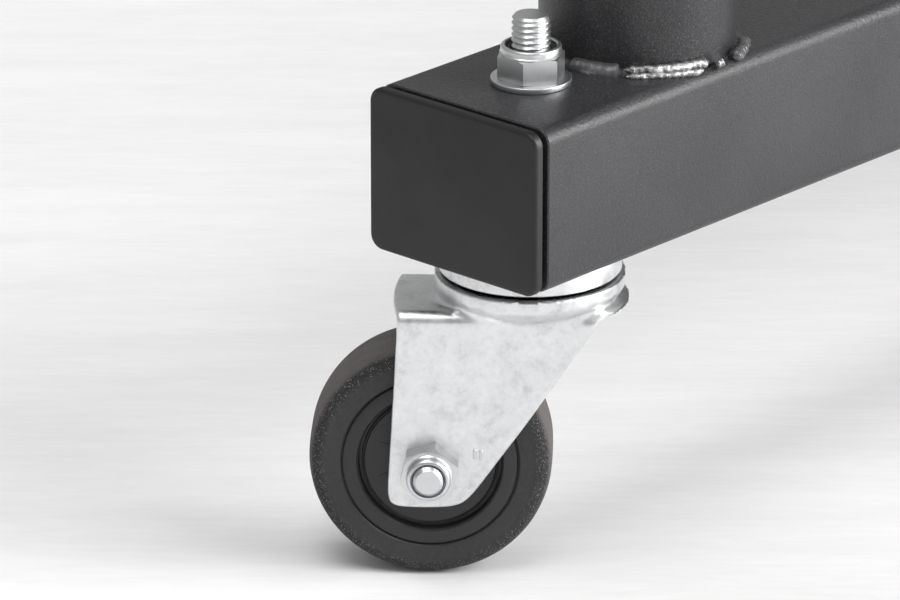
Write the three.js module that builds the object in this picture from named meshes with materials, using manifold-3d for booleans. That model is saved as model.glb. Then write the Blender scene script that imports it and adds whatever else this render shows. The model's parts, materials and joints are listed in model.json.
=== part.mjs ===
// Rolling paddock stand: a U-shaped base of box-section beams on four swivel casters, with two
// posts whose height-adjustable masts carry a lever frame with swingarm cradles.
// Millimetres, +Z up, +Y towards the hand grip. The motorcycle's rear wheel enters from -Y.
import * as THREE from 'three';
import { mergeVertices } from 'three/addons/utils/BufferGeometryUtils.js';
import Module from 'manifold-3d';

const wasm = await Module();
wasm.setup();

// ---------------------------------------------------------------- driving dimensions
const CLEAR = 0.3;               // gap between pieces that touch
const RUNNING = 0.5;             // gap between pieces that slide or turn on each other
const SUNK = 1;                  // how far a joined or cutting shape runs past the face that it meets
const EDGE = 1;                  // small chamfer on turned rims

// base
const BASE_LENGTH = 668.6;       // side beam over its end caps
const TRACK = 460;               // between the side beams' centre lines
const BEAM_WIDTH = 65;
const BEAM_HEIGHT = 50;
const BEAM_WALL = 3;
const BEAM_CORNER = 4.5;
const CAP_PLATE = 3.3;           // visible plate of an end cap
const CAP_GAP = 2.2;             // shadow gap between that plate and the tube
const CAP_PLUG = 14;             // how far the cap reaches into the tube
const CAP_WALL = 2.5;

// casters
const CASTER_INSET = 34.3;       // swivel axis from the beam's end
const CASTER_HEIGHT = 101;       // floor to the underside of the beam
const CASTER_HEADING = 40.34;    // degrees, the way the forks point; the wheels trail behind
const CASTER_TRAIL = 29;
const WHEEL_RADIUS = 36;
const WHEEL_WIDTH = 26;
const TYRE_SEAM = 26.1;          // radius where the tyre meets the hub
const TYRE_SHOULDER = 5;
const HUB_GROOVE = 21.1;         // radius of the hub's recessed face
const HUB_RECESS = 4;
const HUB_BOSS = 10;
const WHEEL_PLAY = 2.2;          // between the wheel and either leg
const FORK_SHEET = 2.6;
const FORK_CROWN_DROP = 16;      // beam's underside down to the fork's crown plate
const FORK_RIM_DROP = 8;         // beam's underside down to the rim of the fork's cup
const FORK_RIM_RADIUS = 27.9;
const FORK_CUP_RADIUS = 29;
const FORK_REAR = 38.2;          // swivel axis to the legs' rear edge
const LEG_FRONT = 22.5;          // swivel axis to the legs' front edge under the cup
const LEG_MARGIN = 12.2;         // sheet round the axle, behind, ahead of and below it
const SWIVEL_GAP = 1;            // between the raceway cap and the fork
const RACEWAY_NECK = 2;          // between the cup's wall and the raceway's neck
const RACEWAY_RADIUS = 27;
const RACEWAY_DEPTH = 7;
const STEM_RADIUS = 5.8;
const STEM_RISE = 20.8;          // stem above the beam
const STEM_HEAD = 7.5;
const NUT_FLATS = 17.8;
const NUT_HEX = 7.6;
const NUT_HEIGHT = 10;
const NUT_COLLAR = 9;            // radius of the lock nut's collar
const WASHER_RADIUS = 11.9;
const WASHER_THICK = 1.8;
const AXLE_RADIUS = 4.9;
const AXLE_NUT_FLATS = 16;
const AXLE_NUT_HEX = 6.5;
const AXLE_NUT_HEIGHT = 10;
const AXLE_NUT_COLLAR = 7.4;
const AXLE_HEAD = 6;
const AXLE_REACH = 0.6;          // axle's end past its nut

// posts and masts
const POST_GAP = 2.7;            // between the weld at the post's foot and the caster's washer
const POST_RADIUS = 29.2;
const POST_WALL = 3.2;
const POST_HEIGHT = 150;
const POST_WELD = 3.2;           // leg of the weld bead round the foot
const MAST_WALL = 3;
const MAST_FOOT = 15;            // mast's lower end above the post's foot at the lowest setting
const PIVOT_RISE = 53.7;         // lever pivot above the post's rim at the lowest setting
const HEAD_DROP = 36;            // pivot down to the mast's head plate
const HEAD_PLATE = 6;
const CHEEK_PLAY = 1;            // between the lever tube and either cheek
const CHEEK_THICK = 5;
const CHEEK_RADIUS = 20;
const PIVOT_RADIUS = 7;
const PIVOT_FLATS = 21;
const PIVOT_HEAD = 8;
const PIVOT_HEX = 8;
const PIVOT_NUT = 11;
const PIVOT_REACH = 3;           // bolt's end past its nut
const KNOB_DROP = 26;            // clamp screw axis below the post's rim
const KNOB_BOSS = 11;            // radius of the threaded boss
const KNOB_BOSS_REACH = 10;
const KNOB_SCREW = 5;
const KNOB_NECK = 9;
const KNOB_RADIUS = 22;
const KNOB_THICK = 16;
const KNOB_LOBES = 5;
const KNOB_SCALLOP = 2.5;        // half the depth of the hollows between the lobes
const KNOB_STANDOFF = 6;

// lever
const LEVER_RADIUS = 19;
const LEVER_WALL = 3;
const LEVER_SLOPE = 12;          // degrees down towards the hand grip
const LEVER_REAR = 545;          // pivot to the rear bar
const LEVER_FRONT = 130;         // pivot to the open front ends
const LEVER_BEND = 70;
const PIVOT_BUSH = 12;           // radius of the bush across the lever tube
const STUB_SETBACK = 15;         // cradle stub axis behind the tube's front end
const STUB_RADIUS = 15;
const STUB_WALL = 3.5;
const STUB_END = 98;             // stub's free end from the middle of the stand
const GRIP_LENGTH = 150;
const GRIP_THICK = 5;
const REST_INSET = 132;          // rest plates from the middle of the stand
const REST_PLATE = 6;
const REST_HORN = 2.7;           // rest plate either side of the rear bar
const REST_DROP = 6;             // horns of the rest's notch below the bar's centre
const LATCH_SIDE = 104;          // latch from the middle of the stand
const LATCH_THICK = 8;
const LATCH_EAR = 5;
const LATCH_PLAY = 4;            // between the closed latch and the rear bar
const LATCH_BACK = 27;           // latch pivot ahead of the rear bar
const LATCH_DROP = 48;           // latch pivot below the rear bar
const LATCH_TRUNNION = 5;
const LATCH_ARM = 9;             // half width of the latch's arm
const LATCH_OPEN = 50;           // degrees the latch leans back when it is open

// cradles
const CRADLE_SIDE = 155;         // cradle from the middle of the stand
const CRADLE_LENGTH = 50;        // along the swingarm's width
const CRADLE_DEPTH = 60;
const CRADLE_SHEET = 5;
const CRADLE_LIP = 45;
const CRADLE_WALL = 4;
const PAD_THICK = 6;

// how finely round stretches are cut into flats
const ROD_SIDES = 16;
const RING_SIDES = 20;
const TYRE_SIDES = 24;
const CORNER_STEPS = 2;
const BEND_STEPS = 5;
const LOBE_STEPS = 8;

// ---------------------------------------------------------------- worked out sizes
const BEAM_TOP = CASTER_HEIGHT + BEAM_HEIGHT;
const HALF_LENGTH = BASE_LENGTH / 2;
const HALF_TRACK = TRACK / 2;
const CASTER_Y = HALF_LENGTH - CASTER_INSET;
const POST_INSET = CASTER_INSET + WASHER_RADIUS + POST_GAP + POST_WELD + POST_RADIUS;
const POST_Y = -HALF_LENGTH + POST_INSET;
const POST_TOP = BEAM_TOP + CLEAR + POST_HEIGHT;
const PIVOT_HEIGHT = POST_TOP + PIVOT_RISE;
const CHEEK_GAP = 2 * (LEVER_RADIUS + CHEEK_PLAY);
const CHEEK_FACE = CHEEK_GAP / 2 + CHEEK_THICK + CLEAR;
const REST_WIDTH = 2 * (LEVER_RADIUS + CLEAR + REST_HORN);
const FORK_INNER = WHEEL_WIDTH / 2 + WHEEL_PLAY;
const FORK_PLATE_TOP = CASTER_HEIGHT - FORK_CROWN_DROP;
const FORK_RIM_TOP = CASTER_HEIGHT - FORK_RIM_DROP;
const RACEWAY_BOTTOM = CASTER_HEIGHT - RACEWAY_DEPTH;
const MAST_RADIUS = POST_RADIUS - POST_WALL - RUNNING;
const SLOPE = THREE.MathUtils.degToRad(LEVER_SLOPE);
const REAR_BAR_Y = POST_Y + LEVER_REAR * Math.cos(SLOPE);
const REAR_BAR_Z = PIVOT_HEIGHT - LEVER_REAR * Math.sin(SLOPE);
const STUB_Y = POST_Y - (LEVER_FRONT - STUB_SETBACK) * Math.cos(SLOPE);
const STUB_Z = PIVOT_HEIGHT + (LEVER_FRONT - STUB_SETBACK) * Math.sin(SLOPE);
const KNOB_Z = POST_TOP - KNOB_DROP;
const LATCH_Y = REAR_BAR_Y - LATCH_BACK;
const LATCH_Z = REAR_BAR_Z - LATCH_DROP;
const FRONT_REACH = CRADLE_DEPTH / 2 - STUB_Y;
const SHIFT_Y = (FRONT_REACH - HALF_LENGTH) / 2;   // puts the origin under the middle of the whole stand

// ---------------------------------------------------------------- finishes
const finish = (color, roughness, metalness) =>
  new THREE.MeshStandardMaterial({ color, roughness, metalness });
const POWDER = finish(0x38383c, 0.55, 0.2);
const ZINC = finish(0xd6dadc, 0.32, 0.9);
const RUBBER = finish(0x2b2b2d, 0.75, 0);
const HUB_PLASTIC = finish(0x242425, 0.5, 0);
const CAP_PLASTIC = finish(0x303031, 0.6, 0);
const FOAM = finish(0x1d1d1f, 0.9, 0);

const stand = new THREE.Group();

// ---------------------------------------------------------------- solids
function solidOf(geometry) {
  const shell = geometry.clone();
  shell.deleteAttribute('normal');
  shell.deleteAttribute('uv');
  const merged = mergeVertices(shell, 1e-4);
  const index = merged.index.array;
  const kept = [];
  for (let i = 0; i < index.length; i += 3) {
    const [a, b, c] = [index[i], index[i + 1], index[i + 2]];
    if (a !== b && b !== c && c !== a) kept.push(a, b, c);
  }
  const mesh = new wasm.Mesh({
    numProp: 3,
    vertProperties: new Float32Array(merged.attributes.position.array),
    triVerts: new Uint32Array(kept),
  });
  return new wasm.Manifold(mesh);
}

function geometryOf(solid) {
  const mesh = solid.getMesh();
  const geometry = new THREE.BufferGeometry();
  geometry.setAttribute('position', new THREE.BufferAttribute(new Float32Array(mesh.vertProperties), 3));
  geometry.setIndex(new THREE.BufferAttribute(new Uint32Array(mesh.triVerts), 1));
  geometry.computeVertexNormals();
  return geometry;
}

function join(first, ...others) {
  return geometryOf(others.reduce((sum, other) => sum.add(solidOf(other)), solidOf(first)));
}

function cut(body, ...tools) {
  return geometryOf(tools.reduce((rest, tool) => rest.subtract(solidOf(tool)), solidOf(body)));
}

function addPiece(parent, name, geometry, material) {
  const piece = new THREE.Mesh(geometry, material);
  piece.name = name;
  parent.add(piece);
  return piece;
}

// A round bar between two heights, standing on Z.
function rodZ(radius, bottom, top, sides = ROD_SIDES) {
  const rod = new THREE.CylinderGeometry(radius, radius, top - bottom, sides);
  rod.rotateX(Math.PI / 2);
  return rod.translate(0, 0, (bottom + top) / 2);
}

const rodX = (radius, from, to) => rodZ(radius, from, to).rotateY(Math.PI / 2);
const rodY = (radius, from, to) => rodZ(radius, from, to).rotateX(-Math.PI / 2);

// A hexagonal prism on Z, given its size across flats.
const hexZ = (flats, bottom, top) => rodZ(flats / Math.sqrt(3), bottom, top, 6);

function block(width, depth, height, x, y, z) {
  return new THREE.BoxGeometry(width, depth, height).translate(x, y, z);
}

// A closed profile of [radius, height] points turned about Z.
function turned(profile, sides = RING_SIDES, start = 0) {
  const points = [...profile, profile[0]].map(([radius, height]) => new THREE.Vector2(radius, height));
  const isRing = profile.every(([radius]) => radius > 0);
  const lathe = new THREE.LatheGeometry(isRing ? points : points.slice(0, -1), sides, start);
  return lathe.rotateX(Math.PI / 2);
}

// A flat outline of [x, y, radius] corners, each rounded by an arc.
function roundedShape(corners, path = new THREE.Shape()) {
  const at = (i) => new THREE.Vector2(...corners[(i + corners.length) % corners.length]);
  corners.forEach(([x, y, radius], i) => {
    const corner = new THREE.Vector2(x, y);
    const back = at(i - 1).sub(corner).normalize();
    const ahead = at(i + 1).sub(corner).normalize();
    const half = Math.acos(back.dot(ahead)) / 2;
    const start = corner.clone().addScaledVector(back, radius / Math.tan(half));
    const end = corner.clone().addScaledVector(ahead, radius / Math.tan(half));
    if (i === 0) path.moveTo(start.x, start.y);
    else path.lineTo(start.x, start.y);
    if (radius > 0) {
      const inward = back.clone().add(ahead).normalize();
      const centre = corner.clone().addScaledVector(inward, radius / Math.sin(half));
      const from = start.clone().sub(centre).angle();
      const to = end.clone().sub(centre).angle();
      path.absarc(centre.x, centre.y, radius, from, to, back.cross(ahead) > 0);
    }
  });
  path.closePath();
  return path;
}

function roundedRectangle(width, height, radius, path) {
  const [w, h] = [width / 2, height / 2];
  return roundedShape([[-w, -h, radius], [w, -h, radius], [w, h, radius], [-w, h, radius]], path);
}

function extruded(shape, depth, curveSegments = CORNER_STEPS) {
  return new THREE.ExtrudeGeometry(shape, { depth, curveSegments, bevelEnabled: false });
}

// An outline in the YZ plane, extruded along +X from the given place.
function plateYZ(shape, fromX, thickness, curveSegments = 2 * CORNER_STEPS) {
  const plate = extruded(shape, thickness, curveSegments);
  plate.applyMatrix4(new THREE.Matrix4().set(0, 0, 1, 0, 1, 0, 0, 0, 0, 1, 0, 0, 0, 0, 0, 1));
  return plate.translate(fromX, 0, 0);
}

// ---------------------------------------------------------------- base
function boxSection() {
  const section = roundedRectangle(BEAM_WIDTH, BEAM_HEIGHT, BEAM_CORNER);
  const walls = 2 * BEAM_WALL;
  const boreCorner = BEAM_CORNER - BEAM_WALL;
  section.holes.push(roundedRectangle(BEAM_WIDTH - walls, BEAM_HEIGHT - walls, boreCorner, new THREE.Path()));
  return section;
}

// A beam's tube along Y at beam height, centred on Z.
function boxTube(length) {
  const middle = CASTER_HEIGHT + BEAM_HEIGHT / 2;
  return extruded(boxSection(), length).rotateX(-Math.PI / 2).translate(0, -length / 2, middle);
}

function sideBeam() {
  const tube = boxTube(BASE_LENGTH - 2 * (CAP_PLATE + CAP_GAP));
  const holes = [-CASTER_Y, CASTER_Y].map((y) =>
    rodZ(STEM_RADIUS + CLEAR, CASTER_HEIGHT - SUNK, BEAM_TOP + SUNK).translate(0, y, 0));
  return cut(tube, ...holes);
}

// An end cap facing -Y, with its plate's outer face at y = 0.
function endCap() {
  const middle = CASTER_HEIGHT + BEAM_HEIGHT / 2;
  const plate = extruded(roundedRectangle(BEAM_WIDTH, BEAM_HEIGHT, BEAM_CORNER), CAP_PLATE);
  const fit = 2 * (BEAM_WALL + CLEAR);
  const plugShape = roundedRectangle(BEAM_WIDTH - fit, BEAM_HEIGHT - fit, 1);
  const hollow = fit + 2 * CAP_WALL;
  plugShape.holes.push(roundedRectangle(BEAM_WIDTH - hollow, BEAM_HEIGHT - hollow, 0.5, new THREE.Path()));
  const plug = extruded(plugShape, SUNK + CAP_GAP + CAP_PLUG).translate(0, 0, CAP_PLATE - SUNK);
  return join(plate, plug).rotateX(-Math.PI / 2).translate(0, 0, middle);
}

// A plate with a notch in which the lever's rear bar rests.
function restPlate(x) {
  const notch = new THREE.Shape();
  const [halfWidth, foot, horn] = [REST_WIDTH / 2, BEAM_TOP - SUNK, REAR_BAR_Z - REST_DROP];
  const seat = LEVER_RADIUS + RUNNING;
  const mouth = Math.sqrt(seat ** 2 - REST_DROP ** 2);
  const dip = Math.asin(REST_DROP / seat);
  notch.moveTo(-halfWidth, foot);
  notch.lineTo(halfWidth, foot);
  notch.lineTo(halfWidth, horn);
  notch.lineTo(mouth, horn);
  notch.absarc(0, REAR_BAR_Z, seat, -dip, Math.PI + dip, true);
  notch.lineTo(-halfWidth, horn);
  notch.closePath();
  return plateYZ(notch, x - REST_PLATE / 2, REST_PLATE).translate(0, REAR_BAR_Y, 0);
}

// One of the two ears that hold the latch's trunnions.
function latchEar(x) {
  const top = LATCH_Z + 2 * LATCH_TRUNNION;
  const half = 2 * LATCH_TRUNNION;
  const foot = BEAM_TOP - SUNK;
  const round = half - CLEAR;
  const outline = roundedShape([[-half, foot, 0], [half, foot, 0], [half, top, round], [-half, top, round]]);
  return plateYZ(outline, x - LATCH_EAR / 2, LATCH_EAR).translate(0, LATCH_Y, 0);
}

// The beam across the rear, with the lever's rest plates and the latch's ears welded on.
function crossBeam() {
  const tube = boxTube(TRACK - BEAM_WIDTH - 2 * CLEAR).rotateZ(Math.PI / 2).translate(0, REAR_BAR_Y, 0);
  const earSpread = LATCH_THICK / 2 + RUNNING + LATCH_EAR / 2;
  const welded = join(tube, restPlate(-REST_INSET), restPlate(REST_INSET),
    latchEar(LATCH_SIDE - earSpread), latchEar(LATCH_SIDE + earSpread));
  const outside = earSpread + LATCH_EAR;
  const trunnionHole = rodX(LATCH_TRUNNION + CLEAR, LATCH_SIDE - outside, LATCH_SIDE + outside)
    .translate(0, LATCH_Y, LATCH_Z);
  return cut(welded, trunnionHole);
}

// The latch hook, drawn closed over the rear bar and then leaned back about its trunnion.
function latchHook() {
  const over = LEVER_RADIUS + LATCH_PLAY;
  const outer = over + 2 * LATCH_ARM;
  const tip = Math.atan2(LATCH_DROP, LATCH_BACK);   // no further round than it can swing clear of the bar
  const hook = new THREE.Shape();
  hook.moveTo(-LATCH_ARM, 0);
  hook.absarc(0, 0, LATCH_ARM, Math.PI, 2 * Math.PI, false);
  hook.lineTo(LATCH_BACK - over, LATCH_DROP);
  hook.absarc(LATCH_BACK, LATCH_DROP, over, Math.PI, tip, true);
  hook.absarc(LATCH_BACK, LATCH_DROP, outer, tip, Math.PI, false);
  hook.closePath();
  const plate = plateYZ(hook, -LATCH_THICK / 2, LATCH_THICK);
  const reach = LATCH_THICK / 2 + RUNNING + LATCH_EAR;
  return join(plate, rodX(LATCH_TRUNNION, -reach, reach)).rotateX(THREE.MathUtils.degToRad(LATCH_OPEN));
}

const base = new THREE.Group();
stand.add(base);
const SIDES = [['left', -1], ['right', 1]];
const ENDS = [['front', -1], ['rear', 1]];

for (const [side, sign] of SIDES) {
  addPiece(base, `${side}_beam`, sideBeam(), POWDER).position.x = sign * HALF_TRACK;
  for (const [end, toward] of ENDS) {
    const cap = addPiece(base, `${side}_${end}_end_cap`, endCap(), CAP_PLASTIC);
    cap.position.set(sign * HALF_TRACK, toward * HALF_LENGTH, 0);
    cap.rotation.z = toward > 0 ? Math.PI : 0;
  }
}
addPiece(base, 'cross_beam', crossBeam(), POWDER);
addPiece(base, 'latch_hook', latchHook(), ZINC).position.set(LATCH_SIDE, LATCH_Y, LATCH_Z);

// ---------------------------------------------------------------- casters
// Each caster is drawn about its swivel axis, with the fork pointing to +X and the wheel trailing at -X.

function stemBolt() {
  const headTop = FORK_PLATE_TOP - FORK_SHEET - CLEAR;
  const head = hexZ(NUT_FLATS, headTop - STEM_HEAD, headTop);
  return join(head, rodZ(STEM_RADIUS, headTop - SUNK, BEAM_TOP + STEM_RISE));
}

// A nut whose round collar holds its locking ring.
function lockNut(flats, hexHeight, height, collar, bore, bottom) {
  const hex = hexZ(flats, bottom, bottom + hexHeight);
  const dome = turned([[0, bottom + SUNK], [collar, bottom + SUNK], [collar, bottom + hexHeight],
    [collar - EDGE, bottom + height], [0, bottom + height]], ROD_SIDES);
  return cut(join(hex, dome), rodZ(bore, bottom - SUNK, bottom + height + SUNK));
}

function washer() {
  const bottom = BEAM_TOP + CLEAR;
  const top = BEAM_TOP + WASHER_THICK;
  const bore = STEM_RADIUS + CLEAR;
  return turned([[bore, bottom], [WASHER_RADIUS, bottom], [WASHER_RADIUS, top], [bore, top]], ROD_SIDES);
}

function racewayCap() {
  const top = CASTER_HEIGHT - CLEAR;
  const bore = STEM_RADIUS + CLEAR;
  const neck = FORK_RIM_RADIUS - FORK_SHEET - RACEWAY_NECK;
  const neckBottom = FORK_PLATE_TOP + SWIVEL_GAP;
  const taper = (RACEWAY_BOTTOM - neckBottom) / 2;
  return turned([[bore, neckBottom], [neck - taper, neckBottom], [neck, RACEWAY_BOTTOM - taper],
    [neck, RACEWAY_BOTTOM], [RACEWAY_RADIUS, RACEWAY_BOTTOM], [RACEWAY_RADIUS - EDGE, top], [bore, top]]);
}

// Outline of a fork leg in the plane of the wheel: [along the fork, height, corner radius].
function legShape() {
  const axle = [-CASTER_TRAIL, WHEEL_RADIUS];
  return roundedShape([
    [-FORK_REAR, FORK_PLATE_TOP, FORK_SHEET / 2],
    [axle[0] - LEG_MARGIN, axle[1] - LEG_MARGIN, LEG_MARGIN / 2],
    [axle[0] + LEG_MARGIN, axle[1] - LEG_MARGIN, LEG_MARGIN * 0.75],
    [LEG_FRONT, FORK_PLATE_TOP, FORK_SHEET / 2],
  ]);
}

function fork() {
  const bottom = FORK_PLATE_TOP - FORK_SHEET;
  const outer = FORK_INNER + FORK_SHEET;
  const leg = extruded(legShape(), FORK_SHEET).rotateX(Math.PI / 2);
  const nearLeg = leg.clone().translate(0, -FORK_INNER, 0);
  const farLeg = leg.translate(0, outer, 0);
  const plateFront = LEG_FRONT / 2;
  const plate = block(FORK_REAR + plateFront - CLEAR, 2 * FORK_INNER + FORK_SHEET, FORK_SHEET,
    (plateFront - FORK_REAR + CLEAR) / 2, 0, bottom + FORK_SHEET / 2);
  const wall = FORK_SHEET;
  const bore = STEM_RADIUS + RUNNING;
  const cup = turned([[bore, bottom], [FORK_CUP_RADIUS - 3 * wall, bottom], [FORK_CUP_RADIUS, FORK_PLATE_TOP],
    [FORK_RIM_RADIUS, FORK_RIM_TOP], [FORK_RIM_RADIUS - wall, FORK_RIM_TOP],
    [FORK_CUP_RADIUS - 2 * wall, FORK_PLATE_TOP], [bore, FORK_PLATE_TOP]]);
  const axleHole = rodY(AXLE_RADIUS + CLEAR, -outer - SUNK, outer + SUNK)
    .translate(-CASTER_TRAIL, 0, WHEEL_RADIUS);
  const stemHole = rodZ(bore, bottom - SUNK, FORK_RIM_TOP + SUNK);
  return cut(join(nearLeg, farLeg, plate, cup), axleHole, stemHole);
}

const aboutAxle = (geometry) => geometry.rotateX(Math.PI / 2).translate(-CASTER_TRAIL, 0, WHEEL_RADIUS);

// The tyre stands on one of its flats.
function tyre() {
  const [half, bore, s] = [WHEEL_WIDTH / 2, TYRE_SEAM + CLEAR / 2, TYRE_SHOULDER];
  const bevel = s * 0.3;
  return aboutAxle(turned([[bore, -half], [WHEEL_RADIUS - s, -half], [WHEEL_RADIUS - bevel, -half + bevel],
    [WHEEL_RADIUS, -half + s], [WHEEL_RADIUS, half - s], [WHEEL_RADIUS - bevel, half - bevel],
    [WHEEL_RADIUS - s, half], [bore, half]], TYRE_SIDES, Math.PI / TYRE_SIDES));
}

function hub() {
  const half = WHEEL_WIDTH / 2;
  const rim = TYRE_SEAM - CLEAR / 2;
  const web = half - HUB_RECESS;
  const bossEnd = FORK_INNER - CLEAR;
  const bore = AXLE_RADIUS + CLEAR;
  return aboutAxle(turned([[bore, -bossEnd], [HUB_BOSS, -bossEnd], [HUB_BOSS, -web], [HUB_GROOVE, -web],
    [HUB_GROOVE, -half], [rim, -half], [rim, half], [HUB_GROOVE, half], [HUB_GROOVE, web],
    [HUB_BOSS, web], [HUB_BOSS, bossEnd], [bore, bossEnd]], ROD_SIDES));
}

// The axle runs from its head beyond the far leg (+Y) to its end past the nut (-Y).
function axleBolt() {
  const seat = FORK_INNER + FORK_SHEET + CLEAR;
  const end = seat + AXLE_NUT_HEIGHT + AXLE_REACH;
  const head = hexZ(AXLE_NUT_FLATS, -seat - AXLE_HEAD, -seat);
  return aboutAxle(join(head, rodZ(AXLE_RADIUS, -seat - SUNK, end)));
}

function axleNut() {
  const seat = FORK_INNER + FORK_SHEET + CLEAR;
  return aboutAxle(lockNut(AXLE_NUT_FLATS, AXLE_NUT_HEX, AXLE_NUT_HEIGHT, AXLE_NUT_COLLAR,
    AXLE_RADIUS + CLEAR, seat));
}

for (const [side, sign] of SIDES) {
  for (const [end, toward] of ENDS) {
    const caster = new THREE.Group();
    caster.position.set(sign * HALF_TRACK, toward * CASTER_Y, 0);
    caster.rotation.z = THREE.MathUtils.degToRad(CASTER_HEADING);
    base.add(caster);
    const name = `${side}_${end}`;
    addPiece(caster, `${name}_caster_bolt`, stemBolt(), ZINC);
    addPiece(caster, `${name}_caster_washer`, washer(), ZINC);
    addPiece(caster, `${name}_caster_nut`, lockNut(NUT_FLATS, NUT_HEX, NUT_HEIGHT, NUT_COLLAR,
      STEM_RADIUS + CLEAR, BEAM_TOP + WASHER_THICK + CLEAR), ZINC);
    addPiece(caster, `${name}_raceway_cap`, racewayCap(), ZINC);
    addPiece(caster, `${name}_fork`, fork(), ZINC);
    addPiece(caster, `${name}_tyre`, tyre(), RUBBER);
    addPiece(caster, `${name}_hub`, hub(), HUB_PLASTIC);
    addPiece(caster, `${name}_axle_bolt`, axleBolt(), ZINC);
    addPiece(caster, `${name}_axle_nut`, axleNut(), ZINC);
  }
}

// ---------------------------------------------------------------- posts and masts
// A post with its clamp boss on the +X side; the left post is turned about to face -X.
function post() {
  const bottom = BEAM_TOP + CLEAR;
  const bore = POST_RADIUS - POST_WALL;
  const sleeve = turned([[bore, bottom], [POST_RADIUS + POST_WELD, bottom], [POST_RADIUS, bottom + POST_WELD],
    [POST_RADIUS, POST_TOP - EDGE], [POST_RADIUS - EDGE, POST_TOP], [bore, POST_TOP]]);
  const boss = rodX(KNOB_BOSS, POST_RADIUS - POST_WALL / 2, POST_RADIUS + KNOB_BOSS_REACH)
    .translate(0, 0, KNOB_Z);
  const hole = rodX(KNOB_SCREW + CLEAR, bore - 2 * SUNK, POST_RADIUS + KNOB_BOSS_REACH + SUNK)
    .translate(0, 0, KNOB_Z);
  return cut(join(sleeve, boss), hole);
}

function cheek(x) {
  const outline = new THREE.Shape();
  outline.moveTo(-CHEEK_RADIUS, PIVOT_HEIGHT - HEAD_DROP - SUNK);
  outline.lineTo(CHEEK_RADIUS, PIVOT_HEIGHT - HEAD_DROP - SUNK);
  outline.lineTo(CHEEK_RADIUS, PIVOT_HEIGHT);
  outline.absarc(0, PIVOT_HEIGHT, CHEEK_RADIUS, 0, Math.PI, false);
  outline.closePath();
  return plateYZ(outline, x, CHEEK_THICK);
}

function mast() {
  const foot = BEAM_TOP + CLEAR + MAST_FOOT;
  const headTop = PIVOT_HEIGHT - HEAD_DROP;
  const bore = MAST_RADIUS - MAST_WALL;
  const plateBottom = headTop - HEAD_PLATE;
  const tube = turned([[0, plateBottom], [bore, plateBottom], [bore, foot], [MAST_RADIUS, foot],
    [MAST_RADIUS, headTop - EDGE], [MAST_RADIUS - EDGE, headTop], [0, headTop]]);
  const outside = CHEEK_GAP / 2 + CHEEK_THICK + SUNK;
  const hole = rodX(PIVOT_RADIUS + CLEAR, -outside, outside).translate(0, 0, PIVOT_HEIGHT);
  return cut(join(tube, cheek(CHEEK_GAP / 2), cheek(-CHEEK_GAP / 2 - CHEEK_THICK)), hole);
}

// The pivot bolt's head lies at +X and its shank ends past the nut at -X.
function pivotBolt() {
  const head = hexZ(PIVOT_FLATS, CHEEK_FACE, CHEEK_FACE + PIVOT_HEAD).rotateY(Math.PI / 2);
  return join(head, rodX(PIVOT_RADIUS, -CHEEK_FACE - PIVOT_NUT - PIVOT_REACH, CHEEK_FACE + SUNK));
}

function pivotNut() {
  const collar = PIVOT_FLATS / 2 - EDGE;
  const bore = PIVOT_RADIUS + CLEAR;
  return lockNut(PIVOT_FLATS, PIVOT_HEX, PIVOT_NUT, collar, bore, CHEEK_FACE).rotateY(-Math.PI / 2);
}

// A lobed star knob on a clamp screw that points to -X at the mast.
function clampKnob() {
  const lobes = new THREE.Shape();
  const steps = KNOB_LOBES * LOBE_STEPS;
  for (let i = 0; i < steps; i += 1) {
    const angle = (2 * Math.PI * i) / steps;
    const radius = KNOB_RADIUS - KNOB_SCALLOP * (1 - Math.cos(KNOB_LOBES * angle));
    if (i === 0) lobes.moveTo(radius, 0);
    else lobes.lineTo(radius * Math.cos(angle), radius * Math.sin(angle));
  }
  lobes.closePath();
  const face = POST_RADIUS + KNOB_BOSS_REACH + KNOB_STANDOFF;
  const star = extruded(lobes, KNOB_THICK).rotateY(Math.PI / 2).translate(face, 0, 0);
  const neck = rodX(KNOB_NECK, POST_RADIUS + KNOB_BOSS_REACH + CLEAR, face + SUNK);
  const screw = rodX(KNOB_SCREW, MAST_RADIUS + CLEAR, face + SUNK);
  return join(star, neck, screw);
}

for (const [side, sign] of SIDES) {
  const column = new THREE.Group();
  column.position.set(sign * HALF_TRACK, POST_Y, 0);
  column.rotation.z = sign < 0 ? Math.PI : 0;
  base.add(column);
  addPiece(column, `${side}_post`, post(), POWDER);
  addPiece(column, `${side}_mast`, mast(), ZINC);
  addPiece(column, `${side}_clamp_knob`, clampKnob(), CAP_PLASTIC).position.z = KNOB_Z;
  addPiece(column, `${side}_pivot_bolt`, pivotBolt(), ZINC).position.z = PIVOT_HEIGHT;
  addPiece(column, `${side}_pivot_nut`, pivotNut(), ZINC).position.z = PIVOT_HEIGHT;
}

// ---------------------------------------------------------------- lever
// A bent tube's centre line: straight runs joined by arcs, with a station at every arc step.
class BentLine extends THREE.Curve {
  constructor(stations) {
    super();
    this.stations = stations;
  }

  station(u) {
    return this.stations[Math.round(u * (this.stations.length - 1))];
  }

  getPointAt(u) {
    return this.station(u).point.clone();
  }

  getTangentAt(u) {
    return this.station(u).tangent.clone();
  }
}

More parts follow.
